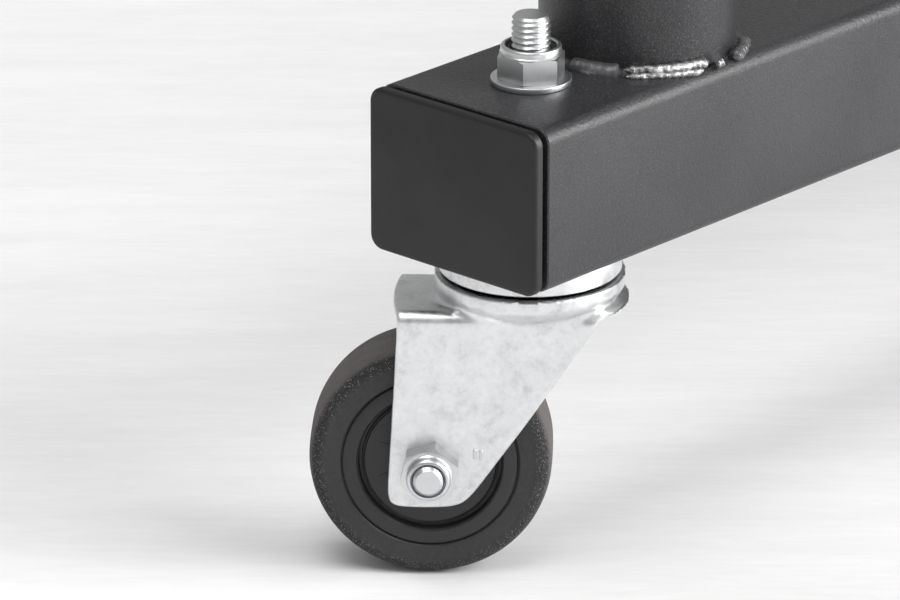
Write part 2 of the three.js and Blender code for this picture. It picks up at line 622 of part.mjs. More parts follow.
// The lever's centre line in its own plane: arms along Y, rear bar along X, pivot line at y = 0.
function leverLine(extra) {
  const stations = [{ point: [-HALF_TRACK, -LEVER_FRONT - extra], angle: Math.PI / 2 }];
  const [cornerX, cornerY] = [HALF_TRACK - LEVER_BEND, LEVER_REAR - LEVER_BEND];
  for (const sign of [-1, 1]) {
    for (let i = 0; i <= BEND_STEPS; i += 1) {
      const turned90 = i / BEND_STEPS;
      const turn = (Math.PI / 2) * (sign < 0 ? 1 - turned90 : -turned90);
      const spoke = turn + Math.PI / 2;
      stations.push({
        point: [sign * cornerX + LEVER_BEND * Math.cos(spoke), cornerY + LEVER_BEND * Math.sin(spoke)],
        angle: turn,
      });
    }
  }
  stations.push({ point: [HALF_TRACK, -LEVER_FRONT - extra], angle: -Math.PI / 2 });
  return new BentLine(stations.map(({ point: [x, y], angle }) => ({
    point: new THREE.Vector3(x, y, 0),
    tangent: new THREE.Vector3(Math.cos(angle), Math.sin(angle), 0),
  })));
}

function sweptTube(radius, extra) {
  const line = leverLine(extra);
  const section = new THREE.Shape().absarc(0, 0, radius, 0, 2 * Math.PI, false);
  return new THREE.ExtrudeGeometry(section, {
    steps: line.stations.length - 1, curveSegments: ROD_SIDES / 2, bevelEnabled: false, extrudePath: line,
  });
}

// A round bar along X between two places given in either order.
const spanX = (radius, a, b) => rodX(radius, Math.min(a, b), Math.max(a, b));

function leverFrame() {
  const bushEnd = CHEEK_GAP / 2 - CLEAR;
  const stubRoot = HALF_TRACK - LEVER_RADIUS + LEVER_WALL;
  const stubY = STUB_SETBACK - LEVER_FRONT;
  const stubs = [];
  const stubBores = [];
  const bushes = [];
  const boltHoles = [];
  for (const sign of [-1, 1]) {
    stubs.push(spanX(STUB_RADIUS, sign * STUB_END, sign * (stubRoot + 2 * SUNK)).translate(0, stubY, 0));
    stubBores.push(spanX(STUB_RADIUS - STUB_WALL, sign * (STUB_END - SUNK), sign * (stubRoot - SUNK))
      .translate(0, stubY, 0));
    bushes.push(rodX(PIVOT_BUSH, -bushEnd, bushEnd).translate(sign * HALF_TRACK, 0, 0));
    boltHoles.push(rodX(PIVOT_RADIUS + CLEAR, -bushEnd - SUNK, bushEnd + SUNK)
      .translate(sign * HALF_TRACK, 0, 0));
  }
  const tube = cut(join(sweptTube(LEVER_RADIUS, 0), ...stubs), ...stubBores,
    sweptTube(LEVER_RADIUS - LEVER_WALL, SUNK));
  return cut(join(tube, ...bushes), ...boltHoles);
}

function handGrip() {
  const [inner, outer, half] = [LEVER_RADIUS + CLEAR, LEVER_RADIUS + GRIP_THICK, GRIP_LENGTH / 2];
  return turned([[inner, -half], [outer - EDGE, -half], [outer, EDGE - half], [outer, half - EDGE],
    [outer - EDGE, half], [inner, half]]).rotateY(Math.PI / 2);
}

const lever = new THREE.Group();
lever.position.set(0, POST_Y, PIVOT_HEIGHT);
lever.rotation.x = -SLOPE;
base.add(lever);
addPiece(lever, 'lever_frame', leverFrame(), POWDER);
addPiece(lever, 'hand_grip', handGrip(), FOAM).position.y = LEVER_REAR;

// ---------------------------------------------------------------- cradles
// A cradle is drawn about its stub's axis, with its lip on the +X side.
const SLEEVE_RADIUS = STUB_RADIUS + RUNNING + CRADLE_WALL;
const SEAT_BOTTOM = SLEEVE_RADIUS - SUNK;

function cradleBracket() {
  const half = CRADLE_LENGTH / 2;
  const sleeve = rodX(SLEEVE_RADIUS, -half, half);
  const seat = block(CRADLE_LENGTH, CRADLE_DEPTH, CRADLE_SHEET, 0, 0, SEAT_BOTTOM + CRADLE_SHEET / 2);
  const lip = block(CRADLE_SHEET, CRADLE_DEPTH, CRADLE_SHEET + CRADLE_LIP,
    half - CRADLE_SHEET / 2, 0, SEAT_BOTTOM + (CRADLE_SHEET + CRADLE_LIP) / 2);
  return cut(join(sleeve, seat, lip), rodX(STUB_RADIUS + RUNNING, -half - SUNK, half + SUNK));
}

function cradlePad() {
  const top = SEAT_BOTTOM + CRADLE_SHEET + CLEAR;
  const right = CRADLE_LENGTH / 2 - CRADLE_SHEET - CLEAR;
  const left = -CRADLE_LENGTH / 2;
  const high = top + CRADLE_LIP - CLEAR;
  const inner = right - PAD_THICK;
  const face = top + PAD_THICK;
  const corner = PAD_THICK / 3;
  const ell = roundedShape([[left, top, CLEAR], [right, top, CLEAR], [right, high, corner],
    [inner, high, corner], [inner, face, corner], [left, face, corner]]);
  return extruded(ell, CRADLE_DEPTH).rotateX(Math.PI / 2).translate(0, CRADLE_DEPTH / 2, 0);
}

for (const [side, sign] of SIDES) {
  const cradle = new THREE.Group();
  cradle.position.set(sign * CRADLE_SIDE, STUB_Y, STUB_Z);
  cradle.rotation.z = sign < 0 ? Math.PI : 0;
  base.add(cradle);
  addPiece(cradle, `${side}_cradle`, cradleBracket(), ZINC);
  addPiece(cradle, `${side}_cradle_pad`, cradlePad(), RUBBER);
}

base.position.y = SHIFT_Y;

export default stand;
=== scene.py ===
import itertools
import json
import math
from collections import namedtuple

import bmesh
import bpy
import numpy as np
from bpy.props import FloatProperty, FloatVectorProperty, IntProperty, PointerProperty
from mathutils import Matrix, Vector


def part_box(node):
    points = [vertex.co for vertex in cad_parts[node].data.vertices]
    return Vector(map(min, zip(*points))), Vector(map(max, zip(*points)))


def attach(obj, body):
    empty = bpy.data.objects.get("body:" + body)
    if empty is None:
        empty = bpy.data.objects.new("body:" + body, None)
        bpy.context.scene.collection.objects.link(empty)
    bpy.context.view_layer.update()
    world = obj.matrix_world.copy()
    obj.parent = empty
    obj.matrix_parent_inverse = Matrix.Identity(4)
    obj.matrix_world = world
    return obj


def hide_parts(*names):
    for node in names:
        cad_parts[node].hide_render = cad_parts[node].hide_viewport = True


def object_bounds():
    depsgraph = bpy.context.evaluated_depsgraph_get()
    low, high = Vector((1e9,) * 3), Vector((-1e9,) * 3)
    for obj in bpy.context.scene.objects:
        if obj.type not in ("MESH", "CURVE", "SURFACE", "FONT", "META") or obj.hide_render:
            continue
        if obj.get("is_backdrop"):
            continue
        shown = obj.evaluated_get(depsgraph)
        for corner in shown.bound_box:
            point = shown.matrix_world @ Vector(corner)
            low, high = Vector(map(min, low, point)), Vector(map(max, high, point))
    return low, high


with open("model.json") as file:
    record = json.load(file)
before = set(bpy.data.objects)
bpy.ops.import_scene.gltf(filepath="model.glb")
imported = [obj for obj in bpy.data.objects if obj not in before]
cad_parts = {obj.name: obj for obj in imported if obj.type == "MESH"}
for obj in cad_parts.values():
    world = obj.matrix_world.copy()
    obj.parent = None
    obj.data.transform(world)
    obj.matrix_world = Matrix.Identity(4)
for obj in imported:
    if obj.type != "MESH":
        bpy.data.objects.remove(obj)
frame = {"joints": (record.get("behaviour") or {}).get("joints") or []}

bl_info = {
    "name": "Paddock Stand",
    "version": (1, 0, 0),
    "blender": (4, 5, 0),
    "location": "3D View > Sidebar > Stand",
    "description": "Builds a rolling motorcycle paddock stand over its mechanical frame",
    "category": "Object",
}

# The shaping functions below work in millimetres; a piece is scaled to metres when its mesh is made.
MM = 0.001
CAD_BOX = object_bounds()
SIDES = (("left", -1.0), ("right", 1.0))
ENDS = (("front", -1.0), ("rear", 1.0))
FINE_STEPS = 96
ROUND_STEPS = 64
CORNER_STEPS = 8
SHARP_ANGLE = math.radians(34)
FORK_SHARP_ANGLE = math.radians(60)
HEAD_CHAMFER = math.radians(30)
NUT_CHAMFER = math.radians(28)

# Sizes and angles of the mechanical parts that no CAD box gives, in millimetres.
FORK_GAP = 15.2
BEAM_SINK = 1.0
BAR_BEHIND_LATCH, BAR_OVER_LATCH = 27.0, 48.0
LATCH_OPEN, LEVER_SLOPE = 50, -12
WELD_PUDDLE = 2.3
# Sockets of a Mix node that hold colours.
MIX_FIRST, MIX_SECOND, MIX_RESULT = 6, 7, 2
FLAT_ARC = 4000.0
NEARLY_ROUND = math.tau * 0.9995


# ------------------------------------------------------------------------------- reading the frame
def mm_box(node):
    """Lowest and highest corner of a CAD node, in millimetres."""
    low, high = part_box(node)
    return np.array(low) / MM, np.array(high) / MM


def joint_named(name):
    """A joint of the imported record."""
    return next(joint for joint in frame["joints"] if joint["name"] == name)


def joint_place(name):
    """Where a joint sits, in millimetres."""
    return np.array(joint_named(name)["pos_m"]) / MM


def beam_heights():
    """Underside and top of the side beams."""
    low, high = mm_box("left_beam")
    return low[2], high[2]


# ------------------------------------------------------------------------------- shells
Shell = namedtuple("Shell", "points faces finishes local")


def skin(rings, finish, closed=False, local=None):
    """Faces between successive rings of points; a ring of one point is a pole and open ends are capped.
    finish is one name, or one for each band between rings."""
    bands = len(rings) if closed else len(rings) - 1
    names = [finish] * bands if isinstance(finish, str) else list(finish)
    starts = np.cumsum([0] + [len(ring) for ring in rings])
    faces, finishes = [], []
    for band in range(bands):
        a, b = band, (band + 1) % len(rings)
        size_a, size_b = len(rings[a]), len(rings[b])
        for i in range(max(size_a, size_b)):
            j = i + 1
            corners = (
                starts[a] + i % size_a,
                starts[a] + j % size_a,
                starts[b] + j % size_b,
                starts[b] + i % size_b,
            )
            faces.append(list(dict.fromkeys(int(c) for c in corners)))
            finishes.append(names[band])
    if not closed:
        for ring, name in ((0, names[0]), (len(rings) - 1, names[-1])):
            if len(rings[ring]) > 1:
                faces.append([int(starts[ring]) + i for i in range(len(rings[ring]))])
                finishes.append(name)
    points = np.concatenate(rings).astype(float)
    return Shell(points, faces, finishes, points if local is None else local)


def circle(radius, height=0.0, steps=FINE_STEPS):
    """A ring of points about Z; radius may be one number or one for each step."""
    if np.ndim(radius) == 0 and radius == 0:
        return np.array([[0.0, 0.0, height]])
    angles = np.arange(steps) * math.tau / steps
    return np.stack([radius * np.cos(angles), radius * np.sin(angles), np.full(steps, height)], axis=1)


def arc(centre_r, centre_z, radius, start, end, steps=5):
    """(radius, height) points along an arc of a profile, angles in degrees."""
    angles = np.radians(np.linspace(start, end, steps + 1))
    return [(centre_r + radius * math.cos(a), centre_z + radius * math.sin(a)) for a in angles]


def lathe(profile, finish, steps=FINE_STEPS, closed=False):
    """A profile of (radius, height) points turned about Z."""
    return skin([circle(r, z, steps) for r, z in profile], finish, closed)


def rod(radius, bottom, top, finish):
    """A round bar on Z with rounded rims."""
    bevel = 0.6
    profile = [(0, bottom)]
    profile += arc(radius - bevel, bottom + bevel, bevel, -90, 0, 3)
    profile += arc(radius - bevel, top - bevel, bevel, 0, 90, 3)
    return lathe(profile + [(0, top)], finish, ROUND_STEPS)


def sleeve(inner, outer, bottom, top, finish, bevel=0.5, steps=FINE_STEPS):
    """A round tube on Z with rounded rims."""
    profile = arc(outer - bevel, bottom + bevel, bevel, -90, 0, 3)
    profile += arc(outer - bevel, top - bevel, bevel, 0, 90, 3)
    profile += arc(inner + bevel, top - bevel, bevel, 90, 180, 3)
    profile += arc(inner + bevel, bottom + bevel, bevel, 180, 270, 3)
    return lathe(profile, finish, steps, closed=True)


def outline_ring(corners, inset=0.0, height=0.0):
    """A counter-clockwise outline of (x, y, radius) corners, drawn in by inset, as a ring at a height."""
    count = len(corners)
    xy = np.array([corner[:2] for corner in corners], dtype=float)
    ahead = np.roll(xy, -1, axis=0) - xy
    ahead /= np.linalg.norm(ahead, axis=1)[:, None]
    ring = []
    for i in range(count):
        back, front = ahead[i - 1], ahead[i]
        turn = math.atan2(back[0] * front[1] - back[1] * front[0], float(back @ front))
        side = 1.0 if turn > 0 else -1.0
        radius = max(corners[i][2] - side * inset, 0.05)
        normal_back = np.array([back[1], -back[0]])
        bisector = normal_back + np.array([front[1], -front[0]])
        bisector /= np.linalg.norm(bisector)
        reach = 1.0 / math.cos(turn / 2)
        corner = xy[i] - bisector * reach * inset
        centre = corner - bisector * reach * side * radius
        start = math.atan2(normal_back[1] * side, normal_back[0] * side)
        for k in range(CORNER_STEPS + 1):
            angle = start + turn * k / CORNER_STEPS
            x, y = centre[0] + radius * math.cos(angle), centre[1] + radius * math.sin(angle)
            ring.append([x, y, height])
    return np.array(ring)


def rectangle(width, depth, radius):
    """Corners of a rounded rectangle about the origin."""
    w, d = width / 2, depth / 2
    return [(-w, -d, radius), (w, -d, radius), (w, d, radius), (-w, d, radius)]


def slab(corners, bottom, top, finish, bevel=0.8):
    """A plate of an outline with rounded edges."""
    rings = []
    for k in range(4):
        angle = math.radians(30 * k)
        rings.append((bevel * (1 - math.sin(angle)), bottom + bevel * (1 - math.cos(angle))))
    rings += [(inset, top + bottom - height) for inset, height in reversed(rings)]
    return skin([outline_ring(corners, inset, height) for inset, height in rings], finish)


def rotation(degrees, axis):
    """A turn about an axis."""
    return Matrix.Rotation(math.radians(degrees), 4, axis)


def facing(sign):
    """No turn, or half a turn about Z for a negative sign."""
    return rotation(0 if sign > 0 else 180, "Z")


def placed(shell, matrix):
    """The shell moved by a matrix; its local coordinates stay, for patterns that turn with it."""
    turn = np.array(matrix.to_3x3())
    return shell._replace(points=shell.points @ turn.T + np.array(matrix.translation))


def along_x(shell):
    """A shape drawn on Z turned to lie along +X."""
    return placed(shell, rotation(90, "Y"))


def along_y(shell):
    """A shape drawn on Z turned to lie along -Y."""
    return placed(shell, rotation(90, "X"))


def moved(shell, x=0.0, y=0.0, z=0.0):
    return placed(shell, Matrix.Translation((x, y, z)))


def standing(shell):
    """An outline drawn as (along, up), thick on Z, stood up in the YZ plane with its thickness on +X."""
    turn = Matrix(((0, 0, 1, 0), (1, 0, 0, 0), (0, 1, 0, 0), (0, 0, 0, 1)))
    return placed(shell, turn)


def hex_radius(flats, steps=FINE_STEPS):
    """Distance from the axis to a hexagon's side for each step, with a corner at angle 0."""
    angles = np.arange(steps) * math.tau / steps
    return flats / 2 / np.cos((angles % (math.pi / 3)) - math.pi / 6)


def hexagon(flats, bottom, top, finish, bore=0.0):
    """A hexagonal head or nut body with its corners turned off at both ends."""
    radius = hex_radius(flats)
    crown = flats / 2 - 0.25
    drop = np.maximum(radius - crown, 0) * math.tan(HEAD_CHAMFER)
    low = circle(radius, bottom)
    high = circle(radius, top)
    low[:, 2] += drop
    high[:, 2] -= drop
    rings = [circle(crown - 0.1, bottom), circle(crown, bottom + 0.03), low, high]
    rings += [circle(crown, top - 0.03), circle(crown - 0.1, top)]
    if bore:
        return skin([circle(bore, bottom)] + rings + [circle(bore, top)], finish, closed=True)
    return skin([circle(0, bottom)] + rings + [circle(0, top)], finish)


def lock_nut(flats, hex_height, height, collar, throat, bore, finish, ring_finish):
    """A nut with a crimped collar that holds a locking ring round the bolt."""
    radius = hex_radius(flats)
    crown = flats / 2 - 0.15
    drop = np.maximum(radius - crown, 0) * math.tan(NUT_CHAMFER)
    low = circle(radius, 0.0)
    high = circle(radius, hex_height)
    low[:, 2] += drop * 0.2
    high[:, 2] -= drop
    rings = [circle(bore, 0), circle(crown - 0.2, 0), low, high, circle(crown, hex_height - 0.05)]
    rings += [circle(collar + 0.35, hex_height), circle(collar, hex_height + 0.35)]
    rim = (height - hex_height) * 0.36
    rings += [circle(r, z) for r, z in arc(collar - rim, height - rim, rim, 0, 90, 5)]
    rings += [circle(r, height - down) for r, down in ((throat + 0.3, 0.08), (throat, 0.5), (throat, 1.0))]
    metal = len(rings) - 1
    rings += [circle(r, height - down) for r, down in ((throat - 0.5, 0.75), (bore + 0.3, 0.9), (bore, 1.3))]
    return skin(rings, [finish] * metal + [ring_finish] * 3 + [finish], closed=True)


# ------------------------------------------------------------------------------- pressed sheet
def rounded_corner(a, b, radius):
    """Distance field of the corner where two faces meet, with that radius."""
    a, b = a + radius, b + radius
    outside = np.hypot(np.maximum(a, 0), np.maximum(b, 0))
    return outside + np.minimum(np.maximum(a, b), 0) - radius


def smooth_min(a, b, reach):
    h = np.clip(0.5 + 0.5 * (b - a) / reach, 0, 1)
    return b + (a - b) * h - reach * h * (1 - h)


def smooth_max(a, b, reach):
    return -smooth_min(-a, -b, reach)


def surface_net(field, low, high, cell):
    """Points and quads on the zero surface of a distance field, each point pulled onto the surface."""
    axes = [np.arange(a, b + cell, cell) for a, b in zip(low, high)]
    grid = np.stack(np.meshgrid(*axes, indexing="ij"), axis=-1)
    value = field(grid)
    solid = value < 0
    corners = sum(
        solid[i : i - 1 or None, j : j - 1 or None, k : k - 1 or None].astype(np.int8)
        for i, j, k in itertools.product((0, 1), repeat=3)
    )
    cells = np.argwhere((corners > 0) & (corners < 8))
    number = np.full(corners.shape, -1)
    number[tuple(cells.T)] = np.arange(len(cells))
    total = np.zeros((len(cells), 3))
    count = np.zeros(len(cells))
    for axis in range(3):
        for offset in itertools.product((0, 1), repeat=2):
            start = cells + np.insert(offset, axis, 0)
            end = start.copy()
            end[:, axis] += 1
            here, there = value[tuple(start.T)], value[tuple(end.T)]
            crossed = (here < 0) != (there < 0)
            share = here[crossed] / (here[crossed] - there[crossed])
            place = grid[tuple(start[crossed].T)]
            place[:, axis] += share * cell
            total[crossed] += place
            count += crossed
    points = total / count[:, None]
    for _ in range(3):
        points = pulled(field, points, cell)
    quads = []
    for axis in range(3):
        u, v = (axis + 1) % 3, (axis + 2) % 3
        near = np.take(solid, range(solid.shape[axis] - 1), axis)
        far = np.take(solid, range(1, solid.shape[axis]), axis)
        edges = np.argwhere(near != far)
        flip = near[tuple(edges.T)]
        around = []
        for du, dv in ((0, 0), (1, 0), (1, 1), (0, 1)):
            beside = edges.copy()
            beside[:, u] -= du
            beside[:, v] -= dv
            around.append(number[tuple(beside.T)])
        quad = np.stack(around, axis=1)
        quad[~flip] = quad[~flip][:, ::-1]
        quads.append(quad)
    return points, np.concatenate(quads).tolist()


def pulled(field, points, cell):
    """The points moved along the field's slope to its zero surface, by half a cell at most."""
    step = 0.05
    value = field(points)
    slope = np.stack(
        [(field(points + step * e) - field(points - step * e)) / (2 * step) for e in np.eye(3)], axis=1
    )
    shift = value[:, None] * slope / np.maximum((slope**2).sum(axis=1), 0.2)[:, None]
    size = np.linalg.norm(shift, axis=1, keepdims=True)
    return points - shift * np.minimum(1.0, 0.5 * cell / np.maximum(size, 1e-9))


# ------------------------------------------------------------------------------- geometry node trees
class Desk:
    """Short ways to add the nodes of one tree."""

    def __init__(self, tree):
        self.tree = tree

    def add(self, kind, inputs=(), **settings):
        """A node with its settings; inputs gives each label or number the socket or value that feeds it."""
        node = self.tree.nodes.new(kind)
        for label, value in settings.items():
            setattr(node, label, value)
        for label, value in dict(inputs).items():
            if isinstance(value, bpy.types.NodeSocket):
                self.tree.links.new(value, node.inputs[label])
            else:
                node.inputs[label].default_value = value
        return node

    def maths(self, operation, *terms):
        """The result of a maths node fed by sockets or numbers."""
        return self.add("ShaderNodeMath", enumerate(terms), operation=operation).outputs[0]

    def sum(self, first, *terms):
        for term in terms:
            first = self.maths("ADD", first, term)
        return first

    def times(self, first, *terms):
        for term in terms:
            first = self.maths("MULTIPLY", first, term)
        return first

    def parts(self, vector):
        """A vector's x, y and z, and its distance from the Z axis."""
        x, y, z = self.add("ShaderNodeSeparateXYZ", {0: vector}).outputs
        return x, y, z, self.maths("SQRT", self.sum(self.times(x, x), self.times(y, y)))

    def pushed(self, mesh, vector, amount):
        """The mesh with each point moved along a vector by an amount."""
        push = self.add("ShaderNodeVectorMath", {0: vector, "Scale": amount}, operation="SCALE").outputs[0]
        return self.add("GeometryNodeSetPosition", {"Geometry": mesh, "Offset": push}).outputs[0]


def new_tree(name, **kinds):
    """A desk for a geometry node tree, with the sockets of its inputs; a material comes last."""
    tree = bpy.data.node_groups.new(name, "GeometryNodeTree")
    for label, kind in {**kinds, "Material": "Material"}.items():
        tree.interface.new_socket(name=label, in_out="INPUT", socket_type="NodeSocket" + kind)
    tree.interface.new_socket(name="Geometry", in_out="OUTPUT", socket_type="NodeSocketGeometry")
    return Desk(tree), list(tree.nodes.new("NodeGroupInput").outputs)[: len(kinds) + 1]


def finish_tree(desk, geometry, material):
    """Realizes the geometry, gives it the material and hands it out."""
    whole = desk.add("GeometryNodeRealizeInstances", {"Geometry": geometry}).outputs[0]
    paint = desk.add("GeometryNodeSetMaterial", {"Geometry": whole, "Material": material})
    desk.add("NodeGroupOutput", {"Geometry": paint.outputs[0]})
    return desk.tree


def thread_tree(name):
    """A threaded bar: a cylinder whose side is drawn in along a helix, with a turned-down end."""
    desk, (radius, length, pitch, depth, rings, material) = new_tree(
        name, Radius="Float", Length="Float", Pitch="Float", Depth="Float", Rings="Int"
    )
    maths, times = desk.maths, desk.times
    sizes = {"Vertices": ROUND_STEPS, "Side Segments": rings, "Fill Segments": 4}
    sizes.update({"Radius": radius, "Depth": length})
    bar = desk.add("GeometryNodeMeshCylinder", sizes).outputs["Mesh"]
    x, y, z, distance = desk.parts(desk.add("GeometryNodeInputPosition").outputs[0])
    turn = maths("DIVIDE", maths("ARCTAN2", y, x), math.tau)
    turns = maths("SUBTRACT", maths("DIVIDE", z, pitch), turn)
    valley = times(maths("PINGPONG", turns, 0.5), 2.0, depth)
    from_end = maths("SUBTRACT", times(length, 0.5), z)
    taper = maths("MAXIMUM", times(maths("SUBTRACT", 1.1, from_end), 0.9), 0.0)
    share = maths("DIVIDE", maths("MAXIMUM", valley, taper), radius)
    outer = maths("POWER", maths("DIVIDE", distance, radius), 8.0)
    flat = desk.add("ShaderNodeCombineXYZ", {"X": x, "Y": y}).outputs[0]
    return finish_tree(desk, desk.pushed(bar, flat, times(share, outer, -1.0)), material)


def weld_tree(name):
    """A weld bead along an arc: a round section whose size ripples with each puddle, with seeded lumps."""
    desk, (radius, start, sweep, size, ripple, lumps, seed, points, material) = new_tree(
        name,
        **dict.fromkeys(("Radius", "Start", "Sweep", "Size", "Ripple", "Lumps", "Seed"), "Float"),
        Points="Int",
    )
    maths, times = desk.maths, desk.times
    sizes = {"Radius": radius, "Start Angle": start, "Sweep Angle": sweep, "Resolution": points}
    path = desk.add("GeometryNodeCurveArc", sizes).outputs["Curve"]
    section = desk.add("GeometryNodeCurvePrimitiveCircle", {"Resolution": 20, "Radius": size})
    along = desk.add("GeometryNodeSplineParameter")
    wave = maths("SINE", times(along.outputs["Length"], math.tau / WELD_PUDDLE))
    ends = times(maths("SINE", times(along.outputs["Factor"], math.pi)), 4.0)
    swell = times(maths("ADD", 1.0, times(wave, ripple)), maths("MINIMUM", ends, 1.0))
    sizes = {"Curve": path, "Profile Curve": section.outputs["Curve"], "Scale": swell, "Fill Caps": True}
    bead = desk.add("GeometryNodeCurveToMesh", sizes).outputs["Mesh"]
    sizes = {"W": seed, "Scale": 0.42, "Detail": 4.0}
    noise = desk.add("ShaderNodeTexNoise", sizes, noise_dimensions="4D").outputs["Fac"]
    lump = times(maths("SUBTRACT", noise, 0.5), lumps)
    normal = desk.add("GeometryNodeInputNormal").outputs[0]
    return finish_tree(desk, desk.pushed(bead, normal, lump), material)


def ribs_tree(name):
    """Upright bars set round a ring, each facing the axis."""
    desk, (radius, count, rib, material) = new_tree(name, Radius="Float", Count="Int", Rib="Vector")
    ring = desk.add("GeometryNodeMeshCircle", {"Vertices": count, "Radius": radius}).outputs["Mesh"]
    bar = desk.add("GeometryNodeMeshCube", {"Size": rib}).outputs["Mesh"]
    place = desk.add("GeometryNodeInputPosition").outputs[0]
    turn = desk.add("FunctionNodeAlignRotationToVector", {"Vector": place}, axis="X").outputs["Rotation"]
    copies = desk.add("GeometryNodeInstanceOnPoints", {"Points": ring, "Instance": bar, "Rotation": turn})
    return finish_tree(desk, copies.outputs["Instances"], material)


def bent_bar_tree(name):
    """A round bar bent along a line of straight runs, each corner taken round at one radius."""
    desk, (line, radius, bend, material) = new_tree(
        name, Geometry="Geometry", Radius="Float", Bend="Float"
    )
    sizes = {"Curve": line, "Radius": bend, "Count": 20, "Limit Radius": True}
    corners = desk.add("GeometryNodeFilletCurve", sizes, mode="POLY").outputs["Curve"]
    section = desk.add("GeometryNodeCurvePrimitiveCircle", {"Resolution": 48, "Radius": radius})
    sizes = {"Curve": corners, "Profile Curve": section.outputs["Curve"], "Fill Caps": True}
    return finish_tree(desk, desk.add("GeometryNodeCurveToMesh", sizes).outputs["Mesh"], material)


TREES = {"thread": thread_tree, "weld": weld_tree, "ribs": ribs_tree, "bent bar": bent_bar_tree}


def grown(kind, finish, line=None, **values):
    """The shell that a node tree makes from its inputs, and from a line of points where it follows one."""
    name = TREES[kind].__name__
    tree = bpy.data.node_groups.get(name) or TREES[kind](name)
    if line is None:
        data = bpy.data.meshes.new("Grown")
    else:
        data = bpy.data.curves.new("Grown", "CURVE")
        data.dimensions = "3D"
        spline = data.splines.new("POLY")
        spline.points.add(len(line) - 1)
        for point, place in zip(spline.points, line):
            point.co = (*place, 1.0)
    holder = bpy.data.objects.new("Grown", data)
    bpy.context.scene.collection.objects.link(holder)
    modifier = holder.modifiers.new("Grow", "NODES")
    modifier.node_group = tree
    for item in tree.interface.items_tree:
        if item.in_out == "INPUT" and item.name in values:
            modifier[item.identifier] = values[item.name]
        elif item.in_out == "INPUT" and item.name == "Material":
            modifier[item.identifier] = finish_material(finish)
    evaluated = holder.evaluated_get(bpy.context.evaluated_depsgraph_get())
    mesh = bpy.data.meshes.new_from_object(evaluated)
    points = np.array([vertex.co for vertex in mesh.vertices], dtype=float)
    faces = [list(face.vertices) for face in mesh.polygons]
    bpy.data.objects.remove(holder)
    bpy.data.meshes.remove(mesh)
    return Shell(points, faces, [finish] * len(faces), points)


# ------------------------------------------------------------------------------- finishes
class MaterialDesk(Desk):
    """Short ways to add the nodes of one material."""

    def __init__(self, name, **values):
        self.material = bpy.data.materials.new(name)
        self.material.use_nodes = True
        super().__init__(self.material.node_tree)
        self.shader = self.tree.nodes["Principled BSDF"]
        self.place = self.add("ShaderNodeTexCoord").outputs["Object"]
        for label, value in values.items():
            self.shader.inputs[label].default_value = value

    def feed(self, label, socket):
        self.tree.links.new(socket, self.shader.inputs[label])

    def stretched(self, source, scale):
        return self.add("ShaderNodeMapping", {"Vector": source, "Scale": scale}).outputs["Vector"]

    def noise(self, scale, detail=3.0, rough=0.5, place=None, seed=0.0):
        place = self.place if place is None else place
        inputs = {"Vector": place, "W": seed, "Scale": scale, "Detail": detail, "Roughness": rough}
        return self.add("ShaderNodeTexNoise", inputs, noise_dimensions="4D").outputs["Fac"]

    def cells(self, scale):
        return self.add("ShaderNodeTexVoronoi", {"Vector": self.place, "Scale": scale}).outputs["Distance"]

    def span(self, socket, low, high, to_low=0.0, to_high=1.0):
        inputs = {"Value": socket, "From Min": low, "From Max": high, "To Min": to_low, "To Max": to_high}
        return self.add("ShaderNodeMapRange", inputs).outputs["Result"]

    def colours(self, socket, stops):
        node = self.add("ShaderNodeValToRGB", {"Fac": socket})
        ramp = node.color_ramp
        while len(ramp.elements) < len(stops):
            ramp.elements.new(0.5)
        for element, (where, colour) in zip(ramp.elements, stops):
            element.position = where
            element.color = (*colour, 1.0)
        return node.outputs["Color"]

    def blend(self, share, *colours):
        first, second = ((*value, 1.0) if isinstance(value, tuple) else value for value in colours)
        inputs = {"Factor": share, MIX_FIRST: first, MIX_SECOND: second}
        return self.add("ShaderNodeMix", inputs, data_type="RGBA").outputs[MIX_RESULT]

    def bump(self, height, distance, strength=1.0):
        inputs = {"Height": height, "Strength": strength, "Distance": distance}
        self.feed("Normal", self.add("ShaderNodeBump", inputs).outputs["Normal"])


def shaded(colour, factor):
    return tuple(min(1.0, channel * factor) for channel in colour)


def powder_coat(name):
    """Black powder coat: grain with painted glints (lighter specks in the colour), a few duller and lighter
    drifts, small pits.
    """
    looks = bpy.context.scene.stand_finishes
    base = tuple(looks.powder_colour)
    desk = MaterialDesk(name, Metallic=0.0, IOR=1.5)
    drift = desk.noise(22, 4, 0.6, seed=1.3)
    grain = desk.noise(1300, 2, 0.6, seed=2.1)
    # Painted glints: lighter specks put into the base colour where the coat would sparkle under light.
    glint_specks = desk.span(desk.noise(2400, 1, 0.5, seed=5.1), 0.56, 0.68)
    plain = desk.colours(drift, [(0.35, shaded(base, 0.75)), (0.65, shaded(base, 1.3))])
    desk.feed("Base Color", desk.blend(glint_specks, plain, shaded(base, 3.6)))
    desk.feed("Roughness", desk.span(drift, 0.3, 0.7, 0.38, 0.5))
    pits = desk.cells(420)
    desk.bump(desk.sum(grain, desk.times(desk.span(pits, 0.0, 0.35), 0.4)), 0.0002, 0.75)
    return desk.material


